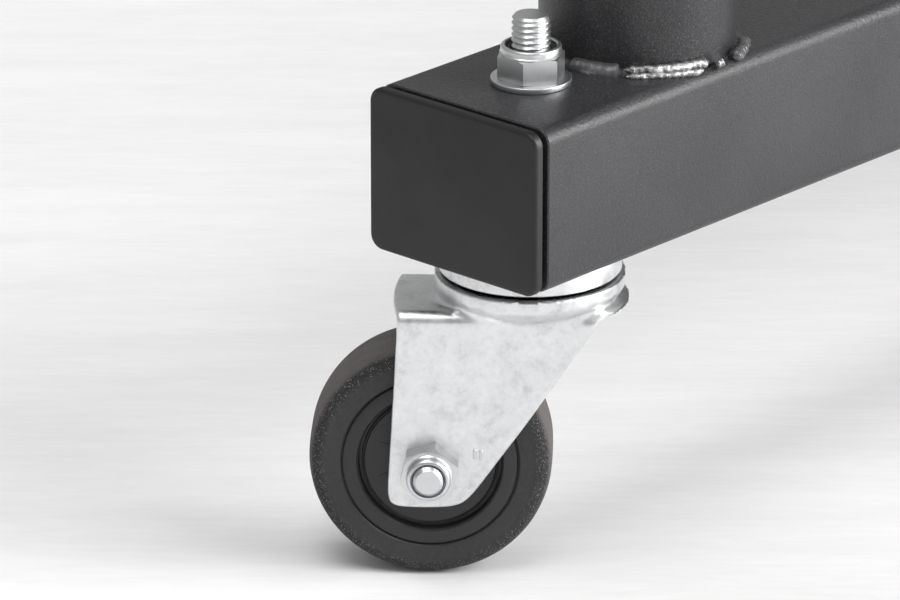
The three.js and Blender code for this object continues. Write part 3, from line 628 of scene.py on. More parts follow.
def zinc(name, tone=1.0, cloudy=1.0):
    """Bright zinc plate: cloudy in colour and polish, finely brushed, with small marks."""
    looks = bpy.context.scene.stand_finishes
    base = shaded(tuple(looks.zinc_colour), tone)
    desk = MaterialDesk(name, Metallic=1.0)
    cloud = desk.noise(170, 4, 0.6, seed=4.0)
    spangle = desk.noise(520, 4, 0.7, seed=11.0)
    fine = desk.noise(1700, 2, 0.5, seed=6.0)
    mottle = desk.sum(desk.times(cloud, 0.55), desk.times(spangle, 0.45))
    tones = [(0.36, shaded(base, 1 - 0.2 * cloudy)), (0.48, base), (0.62, shaded(base, 1 + 0.12 * cloudy))]
    desk.feed("Base Color", desk.colours(mottle, tones))
    desk.feed("Roughness", desk.span(mottle, 0.35, 0.62, 0.31, 0.31 + 0.14 * cloudy))
    scuff = desk.noise(260, 3, 0.7, desk.stretched(desk.place, (1.0, 1.0, 0.25)), seed=9.0)
    desk.bump(desk.sum(desk.times(fine, 0.35), scuff), 0.0001, 0.6 * cloudy)
    return desk.material


def bright_zinc(name):
    """Zinc of the small turned parts: cleaner and glossier."""
    return zinc(name, tone=0.88, cloudy=0.3)


def clouded(name, noise, seed, tones, rough, bump, **values):
    """A finish that one noise clouds in colour, polish (where rough is given) and height."""
    desk = MaterialDesk(name, **values)
    cloud = desk.noise(*noise, seed=seed)
    desk.feed("Base Color", desk.colours(cloud, tones))
    if rough:
        desk.feed("Roughness", desk.span(cloud, 0.3, 0.7, *rough))
    desk.bump(cloud, *bump)
    return desk.material


def weld_metal(name):
    """Bare weld metal: silvery and rough, dark in its hollows."""
    tones = [(0.36, (0.05, 0.05, 0.052)), (0.5, (0.3, 0.3, 0.3)), (0.63, (0.66, 0.65, 0.64))]
    return clouded(name, (420, 5, 0.7), 3.0, tones, (0.5, 0.28), (0.0007, 0.8), Metallic=1.0)


def weld_patch(name):
    """Ground weld under a thin grey coat."""
    tones = [(0.3, (0.06, 0.06, 0.063)), (0.7, (0.17, 0.17, 0.175))]
    return clouded(name, (300, 4, 0.6), 5.0, tones, (0.45, 0.3), (0.0003, 0.6), Metallic=0.6)


def dark_steel(name):
    """Oiled steel inside the swivel, painted near-black as shade for the gap under the raceway cap and the stem
    nuts' throats.
    """
    # Near-black tones are painted shade, not the steel's own colour.
    tones = [(0.3, (0.02, 0.02, 0.021)), (0.7, (0.05, 0.05, 0.052))]
    return clouded(name, (200, 4), 2.0, tones, (0.35, 0.6), (0.0001,), Metallic=0.8)


def tyre_rubber(name):
    """Hard black rubber: smooth sides, a coarse shoulder, a dusty tread scuffed round its run.
    "turning" holds the wheel's own coordinates in millimetres, its axle on Z."""
    looks = bpy.context.scene.stand_finishes
    base, dust = tuple(looks.rubber_colour), tuple(looks.dust_colour)
    desk = MaterialDesk(name, Metallic=0.0, IOR=1.45)
    turning = desk.add("ShaderNodeAttribute", attribute_name="turning").outputs["Vector"]
    radius = desk.parts(turning)[3]
    shoulder = desk.span(radius, 30.8, 33.2)
    tread = desk.span(radius, 34.6, 35.7)
    coarse = desk.noise(0.9, 4, 0.75, turning, seed=1.0)
    scuffs = desk.noise(0.5, 4, 0.7, desk.stretched(turning, (0.3, 0.3, 5.0)), seed=7.0)
    specks = desk.span(desk.noise(2.2, 3, 0.7, turning, seed=5.0), 0.57, 0.64)
    side = desk.colours(coarse, [(0.35, shaded(base, 0.85)), (0.65, shaded(base, 1.25))])
    worn = desk.colours(scuffs, [(0.35, shaded(dust, 0.6)), (0.62, dust)])
    gritty = desk.blend(desk.times(specks, shoulder), side, shaded(dust, 1.9))
    desk.feed("Base Color", desk.blend(tread, gritty, worn))
    desk.feed("Roughness", desk.span(shoulder, 0.0, 1.0, 0.52, 0.85))
    grit = desk.times(desk.noise(1.6, 4, 0.8, turning, seed=2.0), shoulder)
    lines = desk.times(scuffs, tread)
    mould = desk.times(desk.noise(4.0, 2, 0.5, turning), 0.08)
    desk.bump(desk.sum(grit, desk.times(lines, 0.7), mould), 0.0009, 0.9)
    return desk.material


def moulded(name, colour, rough=0.46, grain=700.0, depth=0.00009):
    """Moulded black plastic: a fine spark grain, cloudy sheen and small pale rubs."""
    desk = MaterialDesk(name, Metallic=0.0, IOR=1.48)
    cloud = desk.noise(45, 4, 0.6, seed=3.3)
    fine = desk.noise(grain, 2, 0.6, seed=8.0)
    along = desk.stretched(desk.place, (1.0, 0.3, 1.0))
    rubs = desk.span(desk.noise(150, 5, 0.8, along, seed=4.4), 0.68, 0.8)
    plain = desk.colours(cloud, [(0.3, shaded(colour, 0.9)), (0.7, shaded(colour, 1.12))])
    desk.feed("Base Color", desk.blend(rubs, plain, shaded(colour, 2.2)))
    desk.feed("Roughness", desk.span(cloud, 0.3, 0.7, rough - 0.05, rough + 0.08))
    desk.bump(fine, depth, 0.6)
    return desk.material


def cap_plastic(name):
    return moulded(name, tuple(bpy.context.scene.stand_finishes.cap_colour), 0.5)


def hub_plastic(name):
    return moulded(name, tuple(bpy.context.scene.stand_finishes.hub_colour), 0.4, 900.0, 0.00005)


def knob_plastic(name):
    return moulded(name, tuple(bpy.context.scene.stand_finishes.hub_colour), 0.42, 500.0, 0.0002)


def locking_ring(name):
    """The pale blue nylon ring of a lock nut."""
    tones = [(0.3, (0.3, 0.36, 0.45)), (0.7, (0.46, 0.52, 0.6))]
    return clouded(name, (400, 3), 1.0, tones, None, (0.00008,), Metallic=0.0, Roughness=0.35)


def foam(name):
    """Closed-cell foam: dull, with a fine skin of cells."""
    desk = MaterialDesk(name, Metallic=0.0)
    pores = desk.cells(1100)
    cloud = desk.noise(60, 4, seed=2.0)
    tones = [(0.3, (0.012, 0.012, 0.013)), (0.7, (0.028, 0.028, 0.03))]
    desk.feed("Base Color", desk.colours(cloud, tones))
    desk.feed("Roughness", desk.span(cloud, 0.3, 0.7, 0.82, 0.95))
    desk.bump(desk.span(pores, 0.0, 0.6), 0.0003, 0.8)
    return desk.material


def pad_rubber(name):
    """Moulded rubber of the cradle pads, with rubs on its high places."""
    desk = MaterialDesk(name, Metallic=0.0)
    cloud = desk.noise(90, 5, 0.65, seed=6.0)
    fine = desk.noise(1200, 2, seed=7.0)
    tones = [(0.3, (0.014, 0.014, 0.015)), (0.75, (0.04, 0.04, 0.042))]
    desk.feed("Base Color", desk.colours(cloud, tones))
    desk.feed("Roughness", desk.span(cloud, 0.3, 0.7, 0.6, 0.78))
    desk.bump(desk.sum(cloud, desk.times(fine, 0.5)), 0.00018, 0.8)
    return desk.material


def pale_floor(name):
    """The studio's pale floor, with faint streaks at the angle of the stage's heading."""
    stage = bpy.context.scene.stand_stage
    base = tuple(stage.floor_colour)
    desk = MaterialDesk(name, Metallic=0.0, Roughness=0.55)
    inputs = {"Vector": desk.place, "Rotation": (0.0, 0.0, -stage.heading)}
    across = desk.stretched(desk.add("ShaderNodeMapping", inputs).outputs["Vector"], (1.0, 7.0, 1.0))
    broad, fine = desk.noise(9.0, 5, 0.65, across, seed=2.0), desk.noise(60.0, 3, 0.6, across)
    streaks = desk.sum(desk.times(broad, 0.6), desk.times(fine, 0.4))
    desk.feed("Base Color", desk.colours(streaks, [(0.38, shaded(base, 0.93)), (0.6, base)]))
    desk.bump(streaks, 0.0003, 0.2)
    return desk.material


FINISHES = {
    "powder": powder_coat,
    "zinc": zinc,
    "bright zinc": bright_zinc,
    "weld": weld_metal,
    "weld patch": weld_patch,
    "dark steel": dark_steel,
    "tyre": tyre_rubber,
    "hub": hub_plastic,
    "cap": cap_plastic,
    "knob": knob_plastic,
    "nylon": locking_ring,
    "foam": foam,
    "pad": pad_rubber,
    "floor": pale_floor,
}


def finish_material(finish):
    """The material of that finish, made the first time it is asked for."""
    name = "Stand_" + finish.replace(" ", "_")
    return bpy.data.materials.get(name) or FINISHES[finish](name)


# ------------------------------------------------------------------------------- pieces
def make_piece(name, shells, body, nodes, place=None, sharp=SHARP_ANGLE):
    """One mesh object from shells moved to their place, riding on its body for its CAD nodes."""
    if place is not None:
        shells = [placed(shell, place) for shell in shells]
    finishes = list(dict.fromkeys(finish for shell in shells for finish in shell.finishes))
    starts = np.cumsum([0] + [len(shell.points) for shell in shells])
    faces = []
    for start, shell in zip(starts, shells):
        faces += [[int(start) + index for index in face] for face in shell.faces]
    mesh = bpy.data.meshes.new(name)
    mesh.from_pydata((np.concatenate([shell.points for shell in shells]) * MM).tolist(), [], faces)
    for finish in finishes:
        mesh.materials.append(finish_material(finish))
    indices = [finishes.index(finish) for shell in shells for finish in shell.finishes]
    mesh.polygons.foreach_set("material_index", indices)
    turning = mesh.attributes.new("turning", "FLOAT_VECTOR", "POINT")
    local = np.concatenate([shell.local for shell in shells])
    turning.data.foreach_set("vector", local.astype(np.float32).ravel())
    work = bmesh.new()
    work.from_mesh(mesh)
    bmesh.ops.recalc_face_normals(work, faces=work.faces)
    work.to_mesh(mesh)
    work.free()
    mesh.shade_smooth()
    mesh.set_sharp_from_angle(angle=sharp)
    mesh.update()
    piece = bpy.data.objects.new(name, mesh)
    bpy.context.scene.collection.objects.link(piece)
    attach(piece, body)
    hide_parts(*nodes)
    return piece


# ------------------------------------------------------------------------------- settings
def length_setting(name, description, default, **limits):
    """A length in metres."""
    return FloatProperty(name=name, description=description, default=default, unit="LENGTH", **limits)


def power_setting(name, description, default):
    """A light's power in watts."""
    return FloatProperty(name=name, description=description, default=default, unit="POWER")


def angle_setting(name, description, default):
    """An angle in radians."""
    return FloatProperty(name=name, description=description, default=default, subtype="ANGLE")


def colour_setting(name, description, default):
    """A colour of three channels."""
    return FloatVectorProperty(name=name, description=description, default=default, subtype="COLOR")


class StageSettings(bpy.types.PropertyGroup):
    lens: FloatProperty(
        name="Lens",
        description="Focal length of the studio camera",
        default=280.0,
        min=20.0,
        subtype="DISTANCE_CAMERA",
    )
    heading: angle_setting("Heading", "How far round the stand the camera looks", math.radians(42.34))
    pitch: angle_setting("Pitch", "How far down the camera looks", math.radians(21.09))
    place: FloatVectorProperty(
        name="Place",
        description="Camera's place from the top of the front left caster's stem",
        default=(1.27612, -1.43541, 0.67267),
        subtype="TRANSLATION",
        unit="LENGTH",
    )
    sky: FloatProperty(name="Sky", description="Brightness of the studio's walls", default=0.42, min=0.0)
    key: power_setting("Key light", "Power of the large side light", 92.0)
    top: power_setting("Top light", "Power of the light overhead", 36.0)
    side: power_setting("Side light", "Power of the low light behind", 86.0)
    floor_colour: colour_setting("Floor", "Colour of the floor", (0.86, 0.852, 0.858))


class FinishSettings(bpy.types.PropertyGroup):
    powder_colour: colour_setting("Powder coat", "Colour of the frame", (0.018, 0.018, 0.0197))
    zinc_colour: colour_setting("Zinc", "Colour of the plated parts", (0.70, 0.712, 0.715))
    rubber_colour: colour_setting("Tyre", "Colour of the tyres' sides", (0.026, 0.026, 0.027))
    dust_colour: colour_setting("Dust", "Colour of the worn tread", (0.16, 0.148, 0.142))
    hub_colour: colour_setting("Hub", "Colour of the wheels' hubs and the knobs", (0.016, 0.016, 0.0175))
    cap_colour: colour_setting("End caps", "Colour of the beams' end caps", (0.006, 0.006, 0.006))


class CasterSettings(bpy.types.PropertyGroup):
    sheet: length_setting("Sheet", "Thickness of the fork's sheet", 0.0026)
    fold: length_setting("Fold", "Outer radius of the fork's folds", 0.0035)
    crown_drop: length_setting("Crown drop", "Beam's underside down to the fork's crown", 0.016)
    rim_drop: length_setting("Rim drop", "Beam's underside down to the rim of the fork's cup", 0.008)
    cup_radius: length_setting("Cup", "Outer radius of the fork's cup", 0.0281)
    raceway_radius: length_setting("Raceway", "Radius of the raceway cap", 0.027)
    net: length_setting("Net", "Spacing of the points on the pressed fork", 0.0007, min=0.0004)
    seam_radius: length_setting("Seam", "Radius where the tyre meets the hub", 0.0261)
    groove_radius: length_setting("Groove", "Radius of the hub's recessed face", 0.0211)
    pitch: length_setting("Pitch", "Pitch of the stem's thread", 0.00175)


class BaseSettings(bpy.types.PropertyGroup):
    corner: length_setting("Corner", "Corner radius of the beams", 0.0045)
    wall: length_setting("Wall", "Wall of the beams", 0.003)
    cap_plate: length_setting("Cap plate", "Thickness of an end cap's plate", 0.0033)
    cap_round: length_setting("Cap round", "Rounding of an end cap's edges", 0.0012)
    post_radius: length_setting("Post", "Radius of the posts", 0.0292)
    post_wall: length_setting("Post wall", "Wall of the posts", 0.0032)
    bead: length_setting("Bead", "Radius of the weld round a post's foot", 0.0032)
    seed: IntProperty(name="Seed", description="Which set of lumps the welds have", default=3)


class LeverSettings(bpy.types.PropertyGroup):
    tube_radius: length_setting("Tube", "Radius of the lever's tube", 0.019)
    bend: length_setting("Bend", "Radius of the tube's bends", 0.070)
    grip_thick: length_setting("Grip", "Thickness of the foam grip", 0.005)
    stub_radius: length_setting("Stub", "Radius of the cradle stubs", 0.015)
    pad_thick: length_setting("Pad", "Thickness of the cradle pads", 0.006)


# ------------------------------------------------------------------------------- casters
def caster_places():
    """Name and axis of each caster."""
    for side, _ in SIDES:
        for end, _ in ENDS:
            name = f"{side}_{end}"
            low, high = mm_box(f"{name}_caster_washer")
            yield name, (low + high) / 2


def heading_of(name):
    """Which way a caster's fork points, from its axle's direction."""
    axle = joint_named(f"{name}_wheel_roll")["axis"]
    return math.atan2(axle[0], -axle[1])


def caster_matrix(name, axis):
    """Moves a shape drawn about the swivel axis, fork along +X, to its caster."""
    return Matrix.Translation((axis[0], axis[1], 0)) @ Matrix.Rotation(heading_of(name), 4, "Z")


def wheel_place(name, axis):
    """Trail behind the swivel axis and height of the wheel's axle."""
    axle = joint_place(f"{name}_wheel_roll")
    return math.hypot(axle[0] - axis[0], axle[1] - axis[1]), axle[2]


def wheel_matrix(trail, height):
    """Turns a shape drawn on Z to the axle, its +Z end on the nut's side."""
    return Matrix.Translation((-trail, 0, height)) @ rotation(90, "X")


def fork_field(trail, axle_height):
    """Distance field of the pressed fork, about the swivel axis with the fork pointing to +X."""
    sizes = bpy.context.scene.stand_casters
    under = beam_heights()[0]
    sheet, fold, cup_radius = sizes.sheet / MM, sizes.fold / MM, sizes.cup_radius / MM
    crown, rim = under - sizes.crown_drop / MM, under - sizes.rim_drop / MM
    half = FORK_GAP + sheet
    front = np.array((-trail + 19.15, axle_height + 0.5))
    slant = np.array((30.35, 43.5)) / math.hypot(30.35, 43.5)
    top_slant = np.array((7.8, 13.0)) / math.hypot(7.8, 13.0)
    cup_edge = np.array((28.3, rim))
    heel, heel_slope, toe = 9.5, 0.0588, 12.4
    swell_start, swell_run = 7.0, 11.0
    climb_start, climb_run = 4.5, 9.5
    axle_bore, stem_bore = 5.2, 6.6

    def leg_outline(u, v, z):
        bulge = 1.9 * np.clip(1 - (v / half) ** 2, 0, 1) * np.clip((z - crown + 8) / 6, 0, 1)
        back = (-u - (trail + heel) - (crown - 5.3 - z) * heel_slope - bulge) * 0.998
        bottom = axle_height - toe - z
        nose = (u - front[0]) * slant[1] - (z - front[1]) * slant[0]
        upper = (u - cup_edge[0]) * top_slant[1] - (z - cup_edge[1]) * top_slant[0]
        reach = 2.0
        parts = np.stack([back, bottom, nose, upper])
        return reach * np.log(np.exp(np.clip(parts / reach, -30, 30)).sum(axis=0))

    def field(points):
        u, v, z = points[..., 0], points[..., 1], points[..., 2]
        round_axis = np.hypot(u, v)
        legs = rounded_corner(np.abs(v) - half, z - crown, fold)
        swell = np.clip(np.maximum(np.abs(v) - swell_start, u) / swell_run, 0, 1)
        swell = swell * swell * (3 - 2 * swell) * (cup_radius - half)
        climb = np.clip((z - crown + climb_start) / climb_run, 0, 1)
        slope = swell * 6 * climb * (1 - climb) / climb_run
        wall = cup_radius - swell * (1 - climb * climb * (3 - 2 * climb))
        cup = (round_axis - wall) / np.sqrt(1 + slope**2)
        cup = np.maximum(cup, z - rim)
        outer = smooth_min(legs, cup, 3.5)
        shell = np.maximum(outer, -(outer + sheet))
        bore = np.maximum(round_axis - (wall - sheet), crown - z)
        shell = np.maximum(shell, -bore)
        floor_disc = np.maximum(round_axis - cup_radius + 1.5, np.abs(z - crown + sheet / 2) - sheet / 2)
        floor_disc = np.maximum(floor_disc, np.abs(v) - half + 1.8)
        shell = smooth_min(shell, floor_disc, 0.8)
        outline = leg_outline(u, v, z)
        in_cup = np.maximum(round_axis - cup_radius - 1.5, crown - 0.8 - z)
        solid = smooth_max(shell, smooth_min(outline, in_cup, 2.5), 1.1)
        axle_hole = axle_bore - np.hypot(u + trail, z - axle_height)
        stem_hole = stem_bore - round_axis
        return np.maximum(np.maximum(solid, axle_hole), stem_hole)

    low = (-trail - 15, -cup_radius - 2, axle_height - 15)
    high = (cup_radius + 3, cup_radius + 2, rim + 2)
    return field, low, high


class STAND_OT_forks(bpy.types.Operator):
    """Builds the four pressed forks"""

    bl_idname = "stand.forks"
    bl_label = "Forks"

    def execute(self, context):
        places = list(caster_places())
        trail, height = wheel_place(*places[0])
        field, low, high = fork_field(trail, height)
        points, quads = surface_net(field, low, high, context.scene.stand_casters.net / MM)
        fork = Shell(points, quads, ["zinc"] * len(quads), points)
        mark = along_y(slab(rectangle(1.2, 3.4, 0.55), 0, 0.7, "bright zinc", 0.3))
        leg = FORK_GAP + context.scene.stand_casters.sheet / MM - 0.3
        marks = [moved(mark, -15.6, -leg, 41.0), moved(mark, -13.8, -leg, 40.7)]
        for name, axis in places:
            place, swivel = caster_matrix(name, axis), f"{name}_swivel"
            nodes = [f"{name}_fork"]
            make_piece(f"{name}_fork_pressed", [fork, *marks], swivel, nodes, place, FORK_SHARP_ANGLE)
        return {"FINISHED"}


def tyre_shell(sizes):
    """The tyre's ring: flat sides, a rounded shoulder and a slightly crowned tread."""
    half = 13.0
    seam = sizes.seam_radius / MM
    side = [(seam - 1.6, half - 1.2), (seam + 0.15, half - 1.2), (seam + 0.2, half - 0.45)]
    side += [(seam + 0.6, half - 0.05), (seam + 1.2, half), (30.9, half)]
    shoulder = arc(31.4, half - 4.3, 4.3, 86, 8, 9)
    tread = [(35.9, half - 5.4), (35.98, half - 8.5), (36.0, 0.6)]
    profile = side + shoulder + tread
    profile += [(r, -z) for r, z in reversed(profile)]
    return lathe(profile, "tyre", 144, closed=True)


def hub_shells(sizes):
    """The hub: an outer ring, a groove, a ribbed recessed face and a boss round the axle."""
    half = 12.9
    seam, groove = sizes.seam_radius / MM - 0.15, sizes.groove_radius / MM
    face = half - 2.3
    profile = [(5.3, 14.6), (8.2, 14.9), (8.8, 14.4), (9.6, face + 1.2), (10.4, face + 0.2), (12.0, face)]
    profile += [(groove - 1.8, face + 0.3), (groove - 1.3, face + 0.8), (groove - 0.9, face + 0.6)]
    profile += [(groove - 0.75, half - 2.6), (groove - 0.15, half - 2.6), (groove + 0.15, half - 0.5)]
    profile += [(groove + 0.7, half), (seam - 0.8, half), (seam - 0.2, half - 0.35), (seam, half - 1.3)]
    profile += [(r, -z) for r, z in reversed(profile)]
    shells = [lathe(profile, "hub", 144, closed=True)]
    ribs = grown("ribs", "hub", Radius=15.7, Count=9, Rib=(8.4, 0.8, 2 * face + 0.5))
    return shells + [ribs]


class STAND_OT_wheels(bpy.types.Operator):
    """Builds the four wheels: tyre and hub"""

    bl_idname = "stand.wheels"
    bl_label = "Wheels"

    def execute(self, context):
        sizes = context.scene.stand_casters
        tyre, hub = tyre_shell(sizes), hub_shells(sizes)
        for name, axis in caster_places():
            place = caster_matrix(name, axis) @ wheel_matrix(*wheel_place(name, axis))
            wheel = f"{name}_wheel"
            make_piece(f"{name}_tyre_ring", [tyre], wheel, [f"{name}_tyre"], place)
            make_piece(f"{name}_hub_moulding", hub, wheel, [f"{name}_hub"], place)
        return {"FINISHED"}


def threaded_end(radius, length, pitch):
    """A threaded length standing on Z from 0."""
    sizes = {"Radius": radius, "Length": length, "Pitch": pitch, "Depth": pitch * 0.45}
    bar = grown("thread", "bright zinc", **sizes, Rings=int(length / pitch * 12))
    return moved(bar, z=length / 2)


class STAND_OT_fasteners(bpy.types.Operator):
    """Builds the casters' stems, washers, nuts and axles"""

    bl_idname = "stand.fasteners"
    bl_label = "Caster fasteners"

    def execute(self, context):
        sizes = context.scene.stand_casters
        under, top = beam_heights()
        pitch, sheet = sizes.pitch / MM, sizes.sheet / MM
        rise, washer_thick = 20.8, 1.8
        crown = under - sizes.crown_drop / MM
        stem = [moved(threaded_end(5.8, rise + 4.0, pitch), z=top - 4.0)]
        stem.append(rod(5.6, crown - sheet - 1.0, top - 3.0, "zinc"))
        stem.append(hexagon(17.8, crown - sheet - 7.6, crown - sheet - 0.3, "zinc"))
        washer = moved(sleeve(6.0, 11.9, 0.0, washer_thick, "bright zinc", 0.35), z=top)
        # The stem nut's inner ring is painted near-black: shade inside its throat.
        nut = lock_nut(17.8, 7.6, 10.0, 8.95, 7.5, 5.8, "bright zinc", "dark steel")
        nut = moved(nut, z=top + washer_thick)
        seat = FORK_GAP + sheet
        axle_nut = moved(lock_nut(15.6, 5.9, 9.2, 6.5, 5.3, 4.7, "bright zinc", "nylon"), z=seat)
        axle = [rod(4.6, -seat - 1.0, seat + 7.0, "zinc")]
        axle.append(moved(threaded_end(4.6, 9.0, 1.25), z=seat + 1.4))
        axle.append(hexagon(16.0, -seat - 6.0, -seat - 0.1, "zinc"))
        nut_turn = rotation(18, "Z")
        for name, axis in caster_places():
            place = caster_matrix(name, axis)
            rolling = place @ wheel_matrix(*wheel_place(name, axis))
            upright = place @ Matrix.Rotation(-heading_of(name) - math.radians(1), 4, "Z")
            for piece, shells, body, node, matrix in (
                ("stem", stem, "base", "caster_bolt", upright),
                ("stem_washer", [washer], "base", "caster_washer", upright),
                ("stem_nut", [nut], "base", "caster_nut", upright),
                ("axle", axle, f"{name}_swivel", "axle_bolt", rolling),
                ("axle_lock_nut", [axle_nut], f"{name}_swivel", "axle_nut", rolling @ nut_turn),
            ):
                make_piece(f"{name}_{piece}", shells, body, [f"{name}_{node}"], matrix)
        return {"FINISHED"}


class STAND_OT_raceways(bpy.types.Operator):
    """Builds the pressed raceway caps between the beams and the forks"""

    bl_idname = "stand.raceways"
    bl_label = "Raceway caps"

    def execute(self, context):
        sizes = context.scene.stand_casters
        under = beam_heights()[0]
        radius, bottom = sizes.raceway_radius / MM, under - 7.0
        crown = under - sizes.crown_drop / MM
        cap = [(6.4, under - 0.05), (radius - 2.2, under - 0.05)]
        cap += arc(radius - 2.0, under - 1.85, 1.8, 80, 6, 6)
        cap += [(radius, bottom + 0.6)] + arc(radius - 0.5, bottom + 0.5, 0.5, 0, -90, 3)
        cap += [(radius - 2.4, bottom), (radius - 2.6, bottom + 1.0), (6.4, bottom + 1.0)]
        # The race under the cap is painted near-black: shade in the gap between the raceway cap and the fork's
        # cup.
        race = [(6.4, crown + 0.8), (18.5, crown + 0.8), (21.5, crown + 3.4)]
        race += [(23.5, bottom + 0.8), (6.4, bottom + 0.8)]
        shells = [lathe(cap, "zinc", closed=True), lathe(race, "dark steel", closed=True)]
        for name, axis in caster_places():
            place = caster_matrix(name, axis)
            make_piece(f"{name}_raceway", shells, "base", [f"{name}_raceway_cap"], place)
        return {"FINISHED"}


# ------------------------------------------------------------------------------- base
def box_tube(width, height, corner, wall, length):
    """A box-section tube along Y, centred, with slightly rounded ends."""
    outer = rectangle(width, height, corner)
    inner = rectangle(width - 2 * wall, height - 2 * wall, corner - wall)
    half, edge = length / 2, 0.4
    rings = [outline_ring(outer, edge, -half), outline_ring(outer, 0, -half + edge)]
    rings += [outline_ring(outer, 0, half - edge), outline_ring(outer, edge, half)]
    rings += [outline_ring(inner, 0, half), outline_ring(inner, 0, -half)]
    return along_y(skin(rings, "powder", closed=True))


class STAND_OT_beams(bpy.types.Operator):
    """Builds the two side beams and the cross beam with its rests and latch ears"""

    bl_idname = "stand.beams"
    bl_label = "Beams"

    def execute(self, context):
        sizes = context.scene.stand_base
        corner, wall = sizes.corner / MM, sizes.wall / MM
        low, high = mm_box("left_beam")
        width, length, height = high - low
        tube = box_tube(width, height, corner, wall, length)
        for side, _ in SIDES:
            low, high = mm_box(f"{side}_beam")
            middle = (low + high) / 2
            make_piece(f"{side}_side_beam", [moved(tube, *middle)], "base", [f"{side}_beam"])
        shells = cross_beam_shells(width, height, corner, wall)
        make_piece("rear_cross_beam", shells, "base", ["cross_beam"])
        return {"FINISHED"}


def cross_beam_shells(width, height, corner, wall):
    """The rear beam with its weld beads, rest plates and latch ears."""
    low, high = mm_box("cross_beam")
    top = beam_heights()[1]
    pivot = joint_place("latch_swing")
    bar = pivot + (0, BAR_BEHIND_LATCH, BAR_OVER_LATCH)
    length = high[0] - low[0] + 0.5
    beam_y = high[1] - width / 2
    tube = box_tube(width, height, corner, wall, length)
    shells = [moved(placed(tube, rotation(90, "Z")), y=beam_y, z=top - height / 2)]
    seat = 19.5
    dip = math.asin(6 / seat)
    notch = [(-22, top - BEAM_SINK, 0.5), (22, top - BEAM_SINK, 0.5), (22, bar[2] - 6, 1.5)]
    cradle = [math.pi + dip + (math.pi - 2 * dip) * k / 14 for k in range(15)]
    notch += [(seat * -math.cos(a), bar[2] + seat * math.sin(a), 0.4) for a in cradle]
    notch += [(-22, bar[2] - 6, 1.5)]
    rest = standing(slab(notch, 0, 6, "powder", 0.5))
    for x in (-132, 132):
        shells.append(moved(rest, x - 3, bar[1]))
        shells.append(moved(straight_weld(44, 5), x, bar[1], top))
    ear = [(-10, top - BEAM_SINK, 0.5), (10, top - BEAM_SINK, 0.5)]
    ear += [(10, pivot[2] + 10, 9.6), (-10, pivot[2] + 10, 9.6)]
    for x in (-7, 7):
        shells.append(moved(standing(slab(ear, 0, 5, "powder", 0.6)), pivot[0] + x - 2.5, pivot[1]))
        shells.append(moved(straight_weld(20, 7), pivot[0] + x, pivot[1], top))
    return shells


def straight_bead(finish, length, ripple, seed):
    """A straight weld bead along Y: an arc too large for its bend to show."""
    sweep = length / FLAT_ARC
    line = {"Radius": FLAT_ARC, "Start": -sweep / 2, "Sweep": sweep, "Points": int(length * 2)}
    return moved(grown("weld", finish, **line, Size=2.2, Ripple=ripple, Lumps=1.0, Seed=float(seed)), -FLAT_ARC)


def ring_bead(radius, size, ripple, lumps, seed, points):
    """A weld bead round the Z axis."""
    line = {"Radius": radius, "Start": 0.0, "Sweep": NEARLY_ROUND, "Points": points}
    return grown("weld", "powder", **line, Size=size, Ripple=ripple, Lumps=lumps, Seed=float(seed))


def straight_weld(length, seed):
    """A weld bead round the foot of a plate that stands across a beam, along Y."""
    settings = bpy.context.scene.stand_base
    bead = straight_bead("powder", length, 0.1, settings.seed + seed)
    both = [moved(bead, -3.6), moved(bead, 3.6)]
    points = np.concatenate([shell.points for shell in both])
    shift = len(bead.points)
    faces = bead.faces + [[index + shift for index in face] for face in bead.faces]
    return Shell(points, faces, ["powder"] * len(faces), points)


class STAND_OT_end_caps(bpy.types.Operator):
    """Builds the moulded caps in the beams' ends"""

    bl_idname = "stand.end_caps"
    bl_label = "End caps"

    def execute(self, context):
        sizes = context.scene.stand_base
        corner, wall = sizes.corner / MM, sizes.wall / MM
        plate, edge = sizes.cap_plate / MM, sizes.cap_round / MM
        for side, _ in SIDES:
            for end, toward in ENDS:
                low, high = mm_box(f"{side}_{end}_end_cap")
                middle = (low + high) / 2
                width, height = high[0] - low[0], high[2] - low[2]
                outline = rectangle(width, height, corner)
                inner = rectangle(width - 2 * wall - 0.6, height - 2 * wall - 0.6, corner - wall + 0.4)
                depth = high[1] - low[1]
                rings = [
                    outline_ring(outline, edge * (1 - math.sin(a)), depth - edge * (1 - math.cos(a)))
                    for a in np.radians((0, 22, 45, 68, 90))
                ]
                rings += [outline_ring(outline, 0, depth - plate + 0.4)]
                rings += [outline_ring(outline, 0.4, depth - plate), outline_ring(inner, 0, depth - plate)]
                rings += [outline_ring(inner, 0, 0.6), outline_ring(inner, 0.5, 0)]
                cap = along_y(skin(rings, "cap"))
                face = low[1] if toward < 0 else high[1]
                place = Matrix.Translation((middle[0], face - toward * depth, middle[2])) @ facing(-toward)
                nodes = [f"{side}_{end}_end_cap"]
                make_piece(f"{side}_{end}_cap", [cap], "base", nodes, place)
        return {"FINISHED"}


